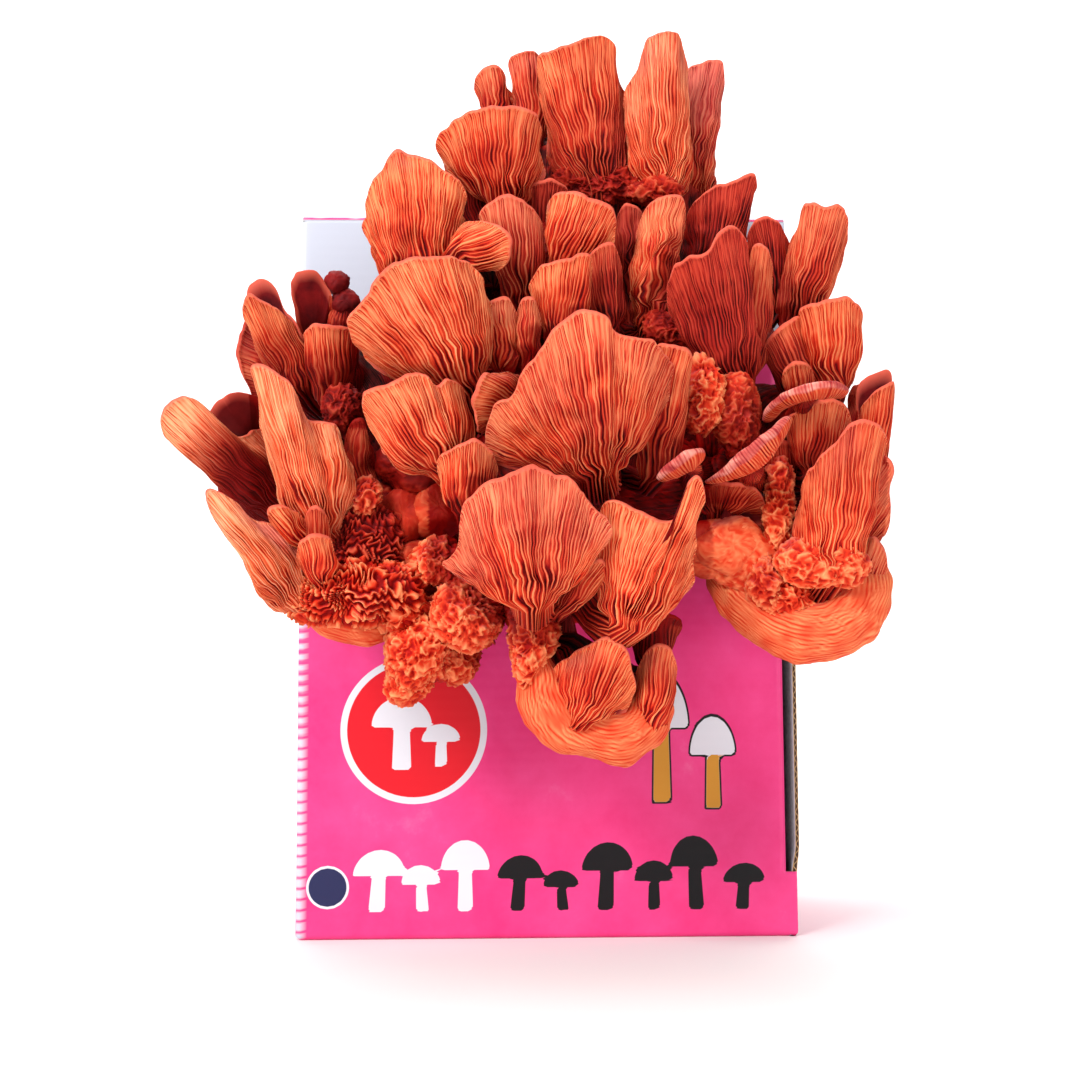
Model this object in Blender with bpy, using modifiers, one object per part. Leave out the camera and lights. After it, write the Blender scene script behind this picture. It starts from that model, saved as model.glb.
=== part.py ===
"""A grow kit: a printed carton with a cluster of coral oyster mushrooms growing out of its front.

Metres, +Z up, the carton's front faces -Y. The origin is the middle of the carton's base.
The cluster is one growth. It is split at its main forks: a base in the carton's window, and one
branch for each limb that leaves it. A branch is a limb and the caps that it carries, in one solid.
"""
from collections import namedtuple
from math import pi, radians

import bmesh
import bpy
import numpy as np
from mathutils import Matrix, Vector

MM = 0.001

# ---- carton ----
CARTON_WIDTH = 165 * MM
CARTON_DEPTH = 115 * MM
CARTON_HEIGHT = 242 * MM
BOARD = 1.6 * MM                 # one wall of fine corrugated board
CORNER_RADIUS = 2.5 * MM         # the blank's outer corners, seen from the front
WINDOW_RADIUS = 31 * MM          # round die-cut window that the cluster grows through
WINDOW_CENTRE = (4 * MM, 146 * MM)
SLOT_WIDTH = 2.2 * MM            # open joint between the front panel and the right wall
SLOT_FOOT = 21 * MM
SLOT_HEAD = 190 * MM
CLEARANCE = 1.2 * MM             # from the board to the block inside
GAP = 0.3 * MM                   # between solids that touch
CUT_BEYOND = 5 * MM              # how far a cutter goes beyond the board's outer face
BLOCK_EDGE = 4 * MM              # bevel of the block's edges
NECK_LENGTH = 12 * MM            # of the cluster's neck, in front of the window
NECK_CLEARANCE = 1 * MM          # from the neck to the window's edge
AMPLE = 400 * MM                 # the size of a cutter that reaches past everything

# ---- where a place on the cluster is seen from ----
# A place is (x, y, reach): x and y are its point in a frame of 1080 points, from the top left, as
# the camera at EYE sees it; reach is how many millimetres it stands in front of the carton's face,
# along the same line of sight.
EYE = np.array([-18.5, -591.0, 79.4]) * MM
VIEW_YAW, VIEW_PITCH = np.radians([1.77, 5.53])
FOCAL_POINTS, FRAME_POINTS = 1600.0, 1080.0
AHEAD = np.array([np.sin(VIEW_YAW) * np.cos(VIEW_PITCH), np.cos(VIEW_YAW) * np.cos(VIEW_PITCH), np.sin(VIEW_PITCH)])
SIDEWAYS = np.array([np.cos(VIEW_YAW), -np.sin(VIEW_YAW), 0.0])
UPWARD = np.cross(SIDEWAYS, AHEAD)

Cap = namedtuple("Cap", "rim hub lip cup back", defaults=(8, ()))
Limb = namedtuple("Limb", "fork thickness caps")
Branch = namedtuple("Branch", "shoulder thickness limbs")

# Each cap: the points of its rim, round from one side of the hub over the lip to the other, the hub
# where its gills meet, the lip's reach, how far its sides curl back (mm), and for an open funnel the
# points of the rim behind. A branch leaves the base by its trunk, which ends at the shoulder. There
# its limbs part, each to its own fork, where its caps' stems start.
BRANCHES = {
    "middle_branch": Branch((552, 514, 46), 16, (
        Limb((600, 466, 46), 14, [
            Cap(((535, 474), (514, 467), (499, 455), (489, 438), (488, 415), (497, 402), (514, 397), (518, 382),
                 (526, 371), (542, 354), (558, 334), (575, 320), (594, 315), (607, 318), (618, 332), (636, 340),
                 (655, 355), (671, 366), (672, 385), (664, 405), (650, 430), (628, 452)),
                (596, 474, 74), 102, 12),
            Cap(((494, 442), (478, 422), (475, 400), (480, 382), (490, 372), (503, 368), (516, 372), (524, 378)),
                (514, 404, 74), 88, 10),
            Cap(((652, 380), (655, 352), (662, 343), (676, 345), (692, 351), (693, 372), (690, 400), (684, 424)),
                (654, 480, 64), 84, 8),
        ]),
        Limb((480, 436, 42), 13, [
            Cap(((385, 374), (364, 357), (357, 330), (360, 305), (371, 286), (385, 272), (402, 262), (425, 259),
                 (450, 259), (470, 267), (483, 283), (488, 305), (485, 330), (478, 356)),
                (468, 388, 62), 86, 10),
            Cap(((404, 449), (382, 453), (367, 440), (360, 415), (362, 396), (375, 386), (395, 380), (412, 374),
                 (428, 375), (438, 388), (447, 380), (462, 383), (475, 397), (471, 420), (460, 440)),
                (448, 472, 66), 84, 7),
            Cap(((488, 340), (487, 318), (489, 303), (500, 298), (510, 301), (516, 314), (514, 335)),
                (504, 378, 56), 68, 5),
            Cap(((516, 335), (518, 312), (524, 300), (534, 300), (540, 312), (540, 335)),
                (526, 376, 56), 66, 5),
            Cap(((441, 478), (443, 458), (458, 446), (478, 440), (491, 448), (498, 464), (495, 482)),
                (470, 512, 70), 84, 7),
        ]),
        Limb((552, 568, 52), 13, [
            Cap(((492, 582), (466, 575), (442, 563), (455, 556), (455, 532), (460, 508), (470, 494), (485, 486),
                 (498, 480), (512, 470), (530, 467), (546, 471), (558, 478), (573, 479), (583, 490), (596, 505),
                 (607, 518), (609, 530), (600, 548), (580, 556), (562, 572), (550, 586)),
                (530, 602, 82), 108, 10),
            Cap(((600, 580), (600, 550), (603, 525), (609, 507), (624, 503), (638, 512), (652, 517), (667, 525),
                 (680, 518), (686, 500), (687, 480), (694, 474), (699, 488), (695, 515), (690, 545),
                 (682, 580), (668, 604)), (630, 622, 76), 98, 9),
            Cap(((545, 601), (551, 592), (566, 584), (583, 572), (598, 560), (606, 566), (602, 585), (586, 598)),
                (560, 610, 72), 84, 4),
        ]),
        Limb((534, 628, 50), 10, [
            Cap(((556, 700), (556, 672), (572, 656), (588, 645), (603, 639), (618, 645), (629, 660), (633, 682),
                 (626, 706), (612, 722)), (578, 722, 62), 76, 9),
            Cap(((638, 700), (638, 674), (645, 656), (656, 647), (669, 653), (676, 668), (674, 692), (667, 716)),
                (648, 738, 58), 68, 7),
            Cap(((548, 650), (549, 630), (556, 612), (567, 610), (574, 625), (576, 650)), (562, 676, 46), 50, 5),
            Cap(((632, 640), (630, 622), (648, 618), (666, 616), (678, 620), (672, 638)), (650, 668, 46), 54, 5),
        ]),
    )),
    "crown_branch": Branch((576, 322, 28), 14, (
        Limb((606, 262, 20), 12, [
            Cap(((546, 160), (541, 122), (540, 90), (540, 58), (560, 48), (585, 40), (602, 35), (617, 50), (624, 80),
                 (630, 108), (630, 135), (638, 165)), (600, 192, 24), 40, 9),
            Cap(((648, 180), (636, 150), (629, 118), (630, 88), (640, 62), (651, 40), (662, 28), (680, 26), (687, 45),
                 (690, 75), (689, 110), (686, 150), (680, 182)), (664, 200, 28), 46, 9),
            Cap(((686, 150), (688, 110), (686, 75), (692, 63), (708, 61), (724, 62), (725, 78), (722, 100), (713, 130),
                 (706, 160), (702, 188)), (692, 212, 18), 28, 6),
            Cap(((482, 104), (479, 82), (486, 70), (498, 66), (506, 72), (508, 85), (518, 100)),
                (503, 126, 20), 28, 4),
            Cap(((520, 108), (517, 82), (512, 62), (524, 50), (536, 48), (543, 58), (546, 85), (548, 110)),
                (537, 142, 20), 30, 5),
            Cap(((462, 178), (455, 158), (446, 134), (462, 117), (480, 109), (503, 105), (525, 108), (541, 119),
                 (550, 132), (549, 152), (546, 172), (532, 188)), (504, 206, 36), 54, 8),
            Cap(((552, 160), (562, 140), (585, 132), (612, 140), (640, 165)), (600, 206, 16), 22, 5),
        ]),
        Limb((498, 304, 30), 11, [
            Cap(((392, 288), (379, 264), (371, 240), (368, 212), (368, 188), (381, 170), (396, 151), (414, 153),
                 (430, 156), (446, 168), (460, 182), (468, 196), (470, 214), (480, 228), (470, 250)),
                (418, 288, 42), 60, 9),
            Cap(((455, 240), (463, 227), (482, 221), (500, 226), (512, 240), (511, 256), (500, 269), (482, 264)),
                (456, 258, 54), 66, 4),
            Cap(((498, 240), (484, 212), (497, 200), (510, 197), (524, 203), (538, 214), (545, 235), (547, 262)),
                (526, 304, 44), 60, 8),
            Cap(((462, 200), (452, 178), (462, 170), (474, 174), (484, 183), (498, 188), (504, 202)),
                (486, 232, 24), 36, 4),
            Cap(((524, 206), (524, 190), (538, 182), (554, 180), (564, 190), (562, 212)),
                (546, 244, 28), 42, 5),
        ]),
        Limb((612, 334, 34), 12, [
            Cap(((554, 240), (552, 215), (553, 195), (566, 194), (584, 199), (602, 205), (615, 214), (620, 226),
                 (612, 241), (596, 253)), (561, 272, 48), 64, 5),
            Cap(((536, 310), (534, 284), (540, 268), (552, 262), (570, 261), (593, 257), (594, 280), (595, 312)),
                (562, 346, 54), 68, 6),
            Cap(((592, 285), (590, 258), (602, 248), (616, 246), (620, 262), (622, 290)), (612, 328, 50), 62, 5),
            Cap(((619, 262), (618, 228), (627, 206), (640, 210), (648, 232), (650, 262)), (634, 326, 36), 46, 6),
            Cap(((646, 268), (640, 230), (645, 212), (655, 202), (670, 197), (684, 199), (687, 222), (683, 245),
                 (670, 275)), (646, 330, 44), 58, 7),
        ]),
    )),
    "left_branch": Branch((402, 490, 32), 14, (
        Limb((354, 424, 24), 11, [
            Cap(((256, 350), (252, 320), (249, 292), (262, 300), (277, 306), (291, 320), (301, 334), (318, 350)),
                (306, 392, 42), 64, 12, back=((303, 332), (284, 305), (277, 288), (266, 279), (253, 286))),
            Cap(((268, 410), (248, 384), (238, 350), (243, 330), (254, 312)), (292, 380, 34), 44, 6),
            Cap(((330, 302), (324, 282), (314, 270), (299, 270), (292, 280), (296, 304), (303, 330)),
                (322, 350, 34), 46, 2),
            Cap(((304, 350), (303, 334), (318, 324), (334, 327), (350, 329), (356, 345)),
                (332, 400, 46), 60, 5),
        ]),
        Limb((360, 526, 40), 12, [
            Cap(((296, 508), (281, 480), (268, 446), (262, 412), (255, 384), (250, 367), (266, 369), (280, 376),
                 (294, 388), (304, 404), (316, 420), (338, 425), (346, 445), (353, 470), (350, 495), (338, 514)),
                (320, 528, 58), 84, 9),
            Cap(((225, 490), (204, 468), (178, 448), (154, 424), (168, 404), (186, 396), (200, 402), (211, 415),
                 (222, 434), (240, 440), (262, 432), (276, 450)), (292, 516, 48), 72, 9),
            Cap(((266, 416), (256, 402), (240, 396), (222, 399), (211, 414), (218, 434), (240, 444), (266, 438)),
                (262, 452, 44), 58, 4),
            Cap(((272, 598), (254, 578), (240, 558), (222, 530), (210, 506), (208, 488), (224, 494), (240, 505),
                 (252, 520), (270, 523), (284, 533), (297, 552)), (300, 604, 60), 80, 7),
            Cap(((224, 492), (244, 470), (278, 466), (300, 500), (292, 530)), (262, 524, 36), 42, 5),
        ]),
        Limb((414, 562, 38), 14, [
            Cap(((284, 532), (272, 520), (269, 506), (282, 504), (296, 511), (306, 522)), (304, 546, 62), 74, 4),
            Cap(((306, 530), (307, 512), (318, 505), (327, 514), (330, 530)), (320, 560, 60), 70, 4),
            Cap(((298, 562), (300, 542), (313, 533), (329, 537), (331, 556)), (322, 586, 62), 76, 4),
            Cap(((345, 440), (350, 424), (362, 420), (370, 440), (374, 470)), (366, 508, 44), 54, 4),
        ]),
    )),
    "right_branch": Branch((714, 466, 36), 15, (
        Limb((714, 364, 32), 11, [
            Cap(((686, 236), (692, 212), (704, 196), (718, 187), (732, 184), (745, 177), (752, 176), (750, 202),
                 (746, 230)), (716, 268, 32), 46, 6),
            Cap(((704, 350), (684, 320), (670, 290), (677, 266), (692, 257), (707, 252), (718, 238), (728, 230),
                 (740, 230), (749, 242), (749, 268), (747, 300), (744, 340)), (735, 388, 52), 76, 9),
            Cap(((748, 300), (751, 268), (753, 250), (761, 246), (769, 250), (776, 264), (775, 284), (768, 310)),
                (748, 376, 50), 62, 5),
            Cap(((750, 256), (750, 234), (757, 221), (767, 217), (777, 221), (785, 235), (790, 256)),
                (776, 302, 34), 44, 5),
        ]),
        Limb((792, 400, 34), 11, [
            Cap(((782, 290), (786, 262), (792, 240), (798, 228), (803, 210), (813, 204), (828, 209), (840, 204),
                 (847, 215), (844, 242), (838, 268), (826, 294)), (794, 330, 32), 50, 7),
            Cap(((816, 356), (801, 332), (801, 314), (814, 304), (832, 300), (850, 301), (862, 311), (860, 335),
                 (854, 362)), (836, 388, 48), 64, 7),
            Cap(((780, 378), (765, 362), (763, 347), (776, 333), (788, 323), (802, 322), (806, 345)),
                (800, 392, 46), 58, 5),
            Cap(((788, 392), (785, 374), (796, 364), (809, 368), (814, 384)), (800, 402, 54), 64, 3),
            Cap(((862, 440), (862, 416), (872, 400), (882, 390), (897, 384), (896, 410), (892, 440)),
                (868, 478, 48), 62, 9, back=((898, 380), (892, 373), (878, 375), (862, 384))),
            Cap(((845, 480), (850, 440), (855, 385), (866, 384), (874, 400)), (858, 520, 40), 46, 5),
        ]),
        Limb((750, 484, 42), 12, [
            Cap(((792, 450), (788, 430), (797, 412), (815, 404), (836, 402), (850, 410), (850, 432), (840, 450)),
                (814, 476, 60), 76, 7),
            Cap(((770, 470), (764, 455), (772, 444), (786, 442), (796, 452), (796, 474)), (782, 500, 54), 64, 4),
        ]),
        Limb((756, 562, 42), 15, [
            Cap(((824, 560), (803, 540), (790, 512), (797, 497), (806, 478), (820, 458), (838, 443), (852, 428),
                 (866, 421), (880, 428), (887, 444), (880, 474), (868, 505), (856, 545)),
                (828, 584, 66), 90, 9),
            Cap(((700, 533), (694, 515), (694, 498), (704, 488), (727, 484), (754, 490), (767, 505), (764, 522)),
                (720, 515, 56), 68, 4, back=((743, 533), (717, 539))),
            Cap(((870, 480), (880, 458), (893, 468), (890, 490), (892, 512), (884, 535), (866, 546)),
                (846, 560, 52), 62, 6),
            Cap(((850, 570), (858, 548), (872, 540), (885, 552), (885, 585), (874, 615)), (846, 640, 56), 66, 7),
        ]),
    )),
}

# Frilly lumps, where caps never opened: centre, and half their sizes (mm).
LUMPS = {
    "left_branch": [((352, 580, 56), (20, 9, 19)), ((418, 650, 52), (13, 9, 13)), ((456, 624, 58), (12, 9, 13)),
                    ((408, 620, 52), (13, 8, 7)), ((422, 512, 48), (13, 8, 12)), ((342, 292, 38), (4, 4, 7))],
    "right_branch": [((704, 396, 66), (7, 6, 13)), ((736, 420, 60), (9, 9, 14)), ((730, 558, 57), (13, 9, 10)),
                     ((788, 590, 64), (16, 8, 9)), ((779, 514, 64), (6, 6, 17))],
    "middle_branch": [((531, 640, 62), (8, 8, 16))],
    "crown_branch": [((612, 182, 26), (20, 7, 8))],
}

# Bowls and narrow margins: their way, and their radius (mm) at each place on it.
BOWLS = {
    "middle_branch": [(((532, 620, 56), (530, 672, 60), (552, 714, 58), (600, 742, 58), (642, 728, 57), (656, 690, 52)),
                       (5, 6, 8, 8.5, 7.5, 4))],
    "right_branch": [(((868, 556, 52), (868, 600, 58), (842, 634, 62), (800, 640, 62), (756, 618, 58), (712, 566, 46)),
                      (6, 8, 9.5, 9.5, 8.5, 5)),
                     (((766, 424, 66), (786, 400, 78), (812, 391, 82), (848, 396, 76)), (1.5, 3, 3, 1.5)),
                     (((800, 440, 38), (806, 396, 79)), (7, 3)),
                     (((702, 484, 74), (746, 464, 82), (768, 446, 84), (788, 420, 78)), (1.2, 3, 3.2, 1.5)),
                     (((750, 490, 38), (752, 464, 80)), (8, 3)),
                     (((658, 481, 84), (680, 466, 89), (706, 454, 88)), (1.2, 4, 2)),
                     (((700, 480, 34), (692, 466, 86)), (7, 3))],
    "left_branch": [(((306, 600, 52), (330, 624, 54), (400, 624, 48)), (5, 6, 5)),
                    (((352, 424, 24), (344, 340, 34), (344, 296, 38)), (6, 3.5, 3.5))],
}

BASE_CENTRE = (558, 484, 20)     # the lump that the limbs leave, as seen
BASE_RADII = (44, 21, 44)        # mm
ROOT_AT = 0.25                   # where a stem starts, on the way from its limb's fork to its hub, at most
STEM_END = 0.28                  # where on the way along a mushroom the stem gives way to the cap
MARGIN_AT = 0.70                 # and where its edge is
FRONT_TURN = radians(230)        # how much of the stem's ring feeds the rim's front
TENSION = 0.8                    # of the curve through a rim's points
CURVE_POINTS = 360               # that the curve is read at
BACK_ALONG, BACK_ACROSS = 0.1, 0.2       # a plain cap's two back points, of its length and half-width
STEM_OF_WIDTH, STEM_OF_LENGTH, STEM_LEAST = 0.42, 0.09, 1.8 * MM      # a stem's radius where it meets the cap
STEM_FLARE = 1.4                 # how soon the stem's girth is gone on the gilled side
FUNNEL = 1.3                     # and how soon the funnel's floor is, on the upper side
FLARE = 1.04                     # an outline of few corners is cut this much larger
SWELL = 0.06                     # how far the gilled side swells, of the cap's length
MARGIN, FLESH = 1.6 * MM, 3.0 * MM       # a cap's thickness at its edge and in its middle
WIDE_CAP = 12 * MM               # a cap with more than this half-width gets the finer sphere
WIDE_SPHERE, SMALL_SPHERE = (12, 7), (8, 6)      # segments round, rings along
LUMP_SPHERE, ROD_SPHERE, BASE_SPHERE = (10, 6), (8, 5), (14, 8)
KEPT_FACES = 0.615               # of a branch's faces, once its mushrooms are joined

SUBJECT = "Oyster mushroom grow kit"
CORAL = (0.80, 0.16, 0.07)
PALE_CORAL = (0.78, 0.24, 0.13)
PINK_BOARD = (0.85, 0.06, 0.24)
GRAIN = (0.62, 0.47, 0.30)


def collection(name):
    """A new collection in the scene."""
    made = bpy.data.collections.new(name)
    bpy.context.scene.collection.children.link(made)
    return made


def material(name, colour, roughness):
    """A plain Principled material."""
    made = bpy.data.materials.new(name)
    made.use_nodes = True
    shader = made.node_tree.nodes["Principled BSDF"]
    shader.inputs["Base Color"].default_value = (*colour, 1.0)
    shader.inputs["Roughness"].default_value = roughness
    return made


def seen(places):
    """The points at `places` = (x, y, reach), each on its line of sight from EYE."""
    x, y, reach = np.moveaxis(np.asarray(places, float), -1, 0)[..., None]
    middle = FRAME_POINTS / 2
    sight = AHEAD + (SIDEWAYS * (x - middle) + UPWARD * (middle - y)) / FOCAL_POINTS
    return EYE + sight * (-CARTON_DEPTH / 2 - reach * MM - EYE[1]) / sight[..., 1:2]


def smooth(low, high, x):
    """0 below low, 1 above high, an S between."""
    t = np.clip((x - low) / (high - low), 0.0, 1.0)
    return t * t * (3.0 - 2.0 * t)


def unit(v):
    """v / |v| along the last axis."""
    return v / np.linalg.norm(v, axis=-1, keepdims=True)


def rounded(corners, count):
    """A closed curve through the corners, its headings there the mean of both sides' headings."""
    side = np.roll(corners, -1, 0) - corners
    length = np.linalg.norm(side, axis=1, keepdims=True)
    heading = unit(unit(side) + np.roll(unit(side), 1, 0))
    u = np.linspace(0.0, len(corners), count, endpoint=False)
    k = u.astype(int)
    t, n = (u - k)[:, None], (k + 1) % len(corners)
    return u, (corners[k] * (1 + 2 * t) * (1 - t) ** 2 + corners[n] * t * t * (3 - 2 * t)
               + TENSION * length[k] * t * (1 - t) * (heading[k] * (1 - t) - heading[n] * t))


def turned(v, axis, headings):
    """v, square to `axis`, after the smallest turn that takes `axis` to each heading."""
    return v - (axis + headings) * (headings @ v / np.maximum(1.0 + headings @ axis, 0.1))[:, None]


class Outline:
    """A cap's rim as a closed curve round its hub. The front points reach
    hub + (lip - hub) c - cup s^2 / 2, with c and s their parts along the cap and across it. The
    back points, or two close behind the hub, lie `cup` further away."""

    def __init__(self, cap):
        x, y, hub_reach = cap.hub
        off = np.array(cap.rim, float) - (x, y)
        along = unit(off.mean(0))
        turn = np.sign(np.cross(off[:-1], off[1:]).sum())
        across = turn * np.array([-along[1], along[0]])
        c, s = off @ along, off @ across
        length, half_width = c.max(), np.abs(s).max()
        reach = hub_reach + (cap.lip - hub_reach) * c / length - 0.5 * cap.cup * (s / half_width) ** 2
        front = np.column_stack([off + (x, y), reach])
        behind = np.array(cap.back or [(x, y) + (BACK_ALONG * length * along + k * BACK_ACROSS * half_width * across)
                                       for k in (1, -1)])
        behind = np.column_stack([behind, np.full(len(behind), cap.lip if cap.back else hub_reach) - cap.cup])
        self.hub = seen(cap.hub)
        corners = seen(np.concatenate([front, behind])) - self.hub

        # the closed curve, and the turn round the stem that each of its points has
        walked = np.cumsum(np.linalg.norm(np.diff(corners, axis=0, prepend=corners[:1], append=corners[:1]), axis=1))
        at_corner = np.interp(walked, [0.0, walked[len(front) - 1], walked[-1]],
                              [-FRONT_TURN / 2, FRONT_TURN / 2, 2 * pi - FRONT_TURN / 2])
        u, curve = rounded(corners, CURVE_POINTS)
        self.turns = np.append(np.interp(u, np.arange(len(corners) + 1), at_corner), 2 * pi - FRONT_TURN / 2)
        self.curve = np.concatenate([curve, curve[:1]])
        self.gone = np.cumsum(np.linalg.norm(np.diff(self.curve, axis=0, prepend=curve[:1]), axis=1))

        self.axis = unit(corners[:len(front)].mean(0))
        sideways = seen((x + across[0], y + across[1], hub_reach)) - self.hub
        self.side = unit(sideways - self.axis * (sideways @ self.axis))
        normal = np.cross(self.side, self.axis)
        self.front = normal * turn * np.sign(normal @ (EYE - self.hub))
        self.length = np.linalg.norm(corners[:len(front)], axis=1).max()
        self.half_width = np.abs(curve @ self.side).max()
        self.throat = min(STEM_OF_WIDTH * self.half_width, STEM_OF_LENGTH * self.length + STEM_LEAST)

    def at(self, share):
        """The rim's points, and the directions away from the funnel's axis, at shares of its girth."""
        place = share * self.gone[-1]
        rim = FLARE * np.stack([np.interp(place, self.gone, self.curve[:, k]) for k in range(3)], -1)
        turns = np.interp(place, self.gone, self.turns)[:, None]
        return rim, self.front * np.cos(turns) + self.side * np.sin(turns), turns


def mushroom(shape, root, share, along):
    """Points of one mushroom's skin. `share` is how far round the rim they are. `along` runs from 0
    at the stem's foot, by the hub and the gilled side, to the margin, and over the cap's upper side
    to 1 at its middle."""
    rim, outward, turns = shape.at(share)
    along = along[:, None]

    # the stem: rings on a bent line from the root to the hub
    run = shape.hub - root
    bend = shape.axis * np.linalg.norm(run) - run
    t = np.clip(along / STEM_END, 0.0, 1.0)
    line = root + run * t + bend * t * t * (t - 1.0)
    heading = unit(run + bend * t * (3.0 * t - 2.0))
    across, ahead = (turned(v, shape.axis, heading) for v in (shape.side, shape.front))
    width = shape.throat * np.sqrt(np.clip(2.0 * t, 0.0, 1.0))
    stem = line + width * (ahead * np.cos(turns) + across * np.sin(turns))

    # the cap: rings that close in on the hub, first on the gilled side, then on the upper side
    under = along < MARGIN_AT
    rho = np.clip(np.where(under, (along - STEM_END) / (MARGIN_AT - STEM_END),
                           (1.0 - along) / (1.0 - MARGIN_AT)), 0.0, 1.0)
    skin = shape.hub + rho * rim + SWELL * shape.length * 4 * rho * (1.0 - rho) * outward
    gilled = shape.throat * (1.0 - rho) ** STEM_FLARE * outward
    floor = shape.axis * (shape.throat + FLESH) * (1.0 - rho) ** FUNNEL
    wall = MARGIN + (FLESH - MARGIN) * (1.0 - rho)
    cap = skin + np.where(under, gilled, floor - outward * wall * smooth(0.0, 0.3, rho))
    blend = smooth(0.9 * STEM_END, STEM_END, along)
    return stem * (1.0 - blend) + cap * blend


def mesh_object(name, bm, home):
    """A new object from a bmesh, its faces pointing out."""
    if bm.calc_volume(signed=True) < 0.0:
        bmesh.ops.reverse_faces(bm, faces=bm.faces[:])
    mesh = bpy.data.meshes.new(name)
    bm.to_mesh(mesh)
    bm.free()
    made = bpy.data.objects.new(name, mesh)
    home.objects.link(made)
    return made


def cap_object(name, cap, fork, thickness, home):
    """One mushroom: a sphere whose longitude runs around it and whose latitude runs along it."""
    shape = Outline(cap)
    segments, rings = WIDE_SPHERE if shape.half_width > WIDE_CAP else SMALL_SPHERE
    latitudes = (0.0, 2 / rings, (rings - 2) / rings, 1.0)
    bm = bmesh.new()
    bmesh.ops.create_uvsphere(bm, u_segments=segments, v_segments=rings, radius=1.0)
    points = np.array([v.co for v in bm.verts])
    share = np.arctan2(points[:, 1], points[:, 0]) / (2 * pi) % 1.0
    latitude = 0.5 + np.arcsin(np.clip(points[:, 2], -1.0, 1.0)) / pi
    along = np.interp(latitude, latitudes, (0.0, STEM_END, MARGIN_AT, 1.0))
    run = shape.hub - seen(fork)
    root = seen(fork) + run * min(ROOT_AT, 0.5 * thickness * MM / np.linalg.norm(run))
    for vert, point in zip(bm.verts, mushroom(shape, root, share, along)):
        vert.co = point
    return mesh_object(name, bm, home)


def ellipsoid(name, centre, radii, home, sphere=LUMP_SPHERE):
    """A sphere stretched to `radii` in millimetres and put at `centre`."""
    bm = bmesh.new()
    bmesh.ops.create_uvsphere(bm, u_segments=sphere[0], v_segments=sphere[1], radius=MM)
    place = Matrix.Translation(centre) @ Matrix.Diagonal((*radii, 1.0))
    bmesh.ops.transform(bm, matrix=place, verts=bm.verts)
    return mesh_object(name, bm, home)


def rod(name, start, end, radii, home):
    """A sphere drawn out into a round-ended rod between two points, with a radius (mm) at each."""
    start, end = Vector(start), Vector(end)
    run = end - start
    bm = bmesh.new()
    bmesh.ops.create_uvsphere(bm, u_segments=ROD_SPHERE[0], v_segments=ROD_SPHERE[1], radius=MM)
    for vert in bm.verts:
        far = vert.co.z > 0.0
        vert.co *= radii[far]
        vert.co.z += run.length * far
    turn = run.to_track_quat("Z", "Y").to_matrix().to_4x4()
    bmesh.ops.transform(bm, matrix=Matrix.Translation(start) @ turn, verts=bm.verts)
    return mesh_object(name, bm, home)


def boolean(target, operation, tool):
    """A Boolean modifier with one object as its tool. The solver is MANIFOLD: the exact one drops
    thin caps that cross each other."""
    modifier = target.modifiers.new(operation.title(), "BOOLEAN")
    modifier.operation = operation
    modifier.solver = "MANIFOLD"
    modifier.object = tool


def settled(obj, name, home):
    """The object as its modifiers leave it, with only its largest body, in a new object."""
    graph = bpy.context.evaluated_depsgraph_get()
    mesh = bpy.data.meshes.new_from_object(obj.evaluated_get(graph))
    bm = bmesh.new()
    bm.from_mesh(mesh)
    left, bodies = set(bm.verts), []
    while left:
        edge, body = [left.pop()], set()
        while edge:
            vert = edge.pop()
            body.add(vert)
            for near in (e.other_vert(vert) for e in vert.link_edges):
                if near in left:
                    left.discard(near)
                    edge.append(near)
        bodies.append(body)
    bodies.sort(key=len)
    for crumb in bodies[:-1]:
        bmesh.ops.delete(bm, geom=list(crumb), context="VERTS")
    bmesh.ops.triangulate(bm, faces=bm.faces[:])
    bpy.data.meshes.remove(mesh)
    return mesh_object(name, bm, home)


def box(name, low, high, home):
    """A box between two corners."""
    bm = bmesh.new()
    bmesh.ops.create_cube(bm, size=1.0)
    for vert in bm.verts:
        vert.co = [(low[i] + high[i]) / 2 + vert.co[i] * (high[i] - low[i]) for i in range(3)]
    return mesh_object(name, bm, home)


def drum(name, radius, y_low, y_high, home, sides=24):
    """A cylinder along Y, centred on the window."""
    bm = bmesh.new()
    place = Matrix.Translation((WINDOW_CENTRE[0], (y_low + y_high) / 2, WINDOW_CENTRE[1]))
    bmesh.ops.create_cone(bm, cap_ends=True, segments=sides, radius1=radius, radius2=radius,
                          depth=y_high - y_low, matrix=place @ Matrix.Rotation(pi / 2, 4, "X"))
    return mesh_object(name, bm, home)


def make_carton(home, tools):
    """The folded carton: board walls, a round window in front, an open joint on the right."""
    half_w, half_d = CARTON_WIDTH / 2, CARTON_DEPTH / 2
    carton = box("carton", (-half_w, -half_d, 0), (half_w, half_d, CARTON_HEIGHT), home)
    bevel = carton.modifiers.new("Corners", "BEVEL")
    bevel.width = CORNER_RADIUS
    bevel.segments = 2
    bevel.limit_method = "NONE"
    inner = box("inside", (-half_w + BOARD, -half_d + BOARD, BOARD),
                (half_w - BOARD, half_d - BOARD, CARTON_HEIGHT - BOARD), tools)
    window = drum("window", WINDOW_RADIUS, -half_d - CUT_BEYOND, -half_d + CUT_BEYOND, tools)
    slot = box("slot", (half_w - BOARD - SLOT_WIDTH, -half_d - CUT_BEYOND, SLOT_FOOT),
               (half_w - BOARD, -half_d + 2 * BOARD, SLOT_HEAD), tools)
    for tool in (inner, window, slot):
        boolean(carton, "DIFFERENCE", tool)
    return carton


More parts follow.
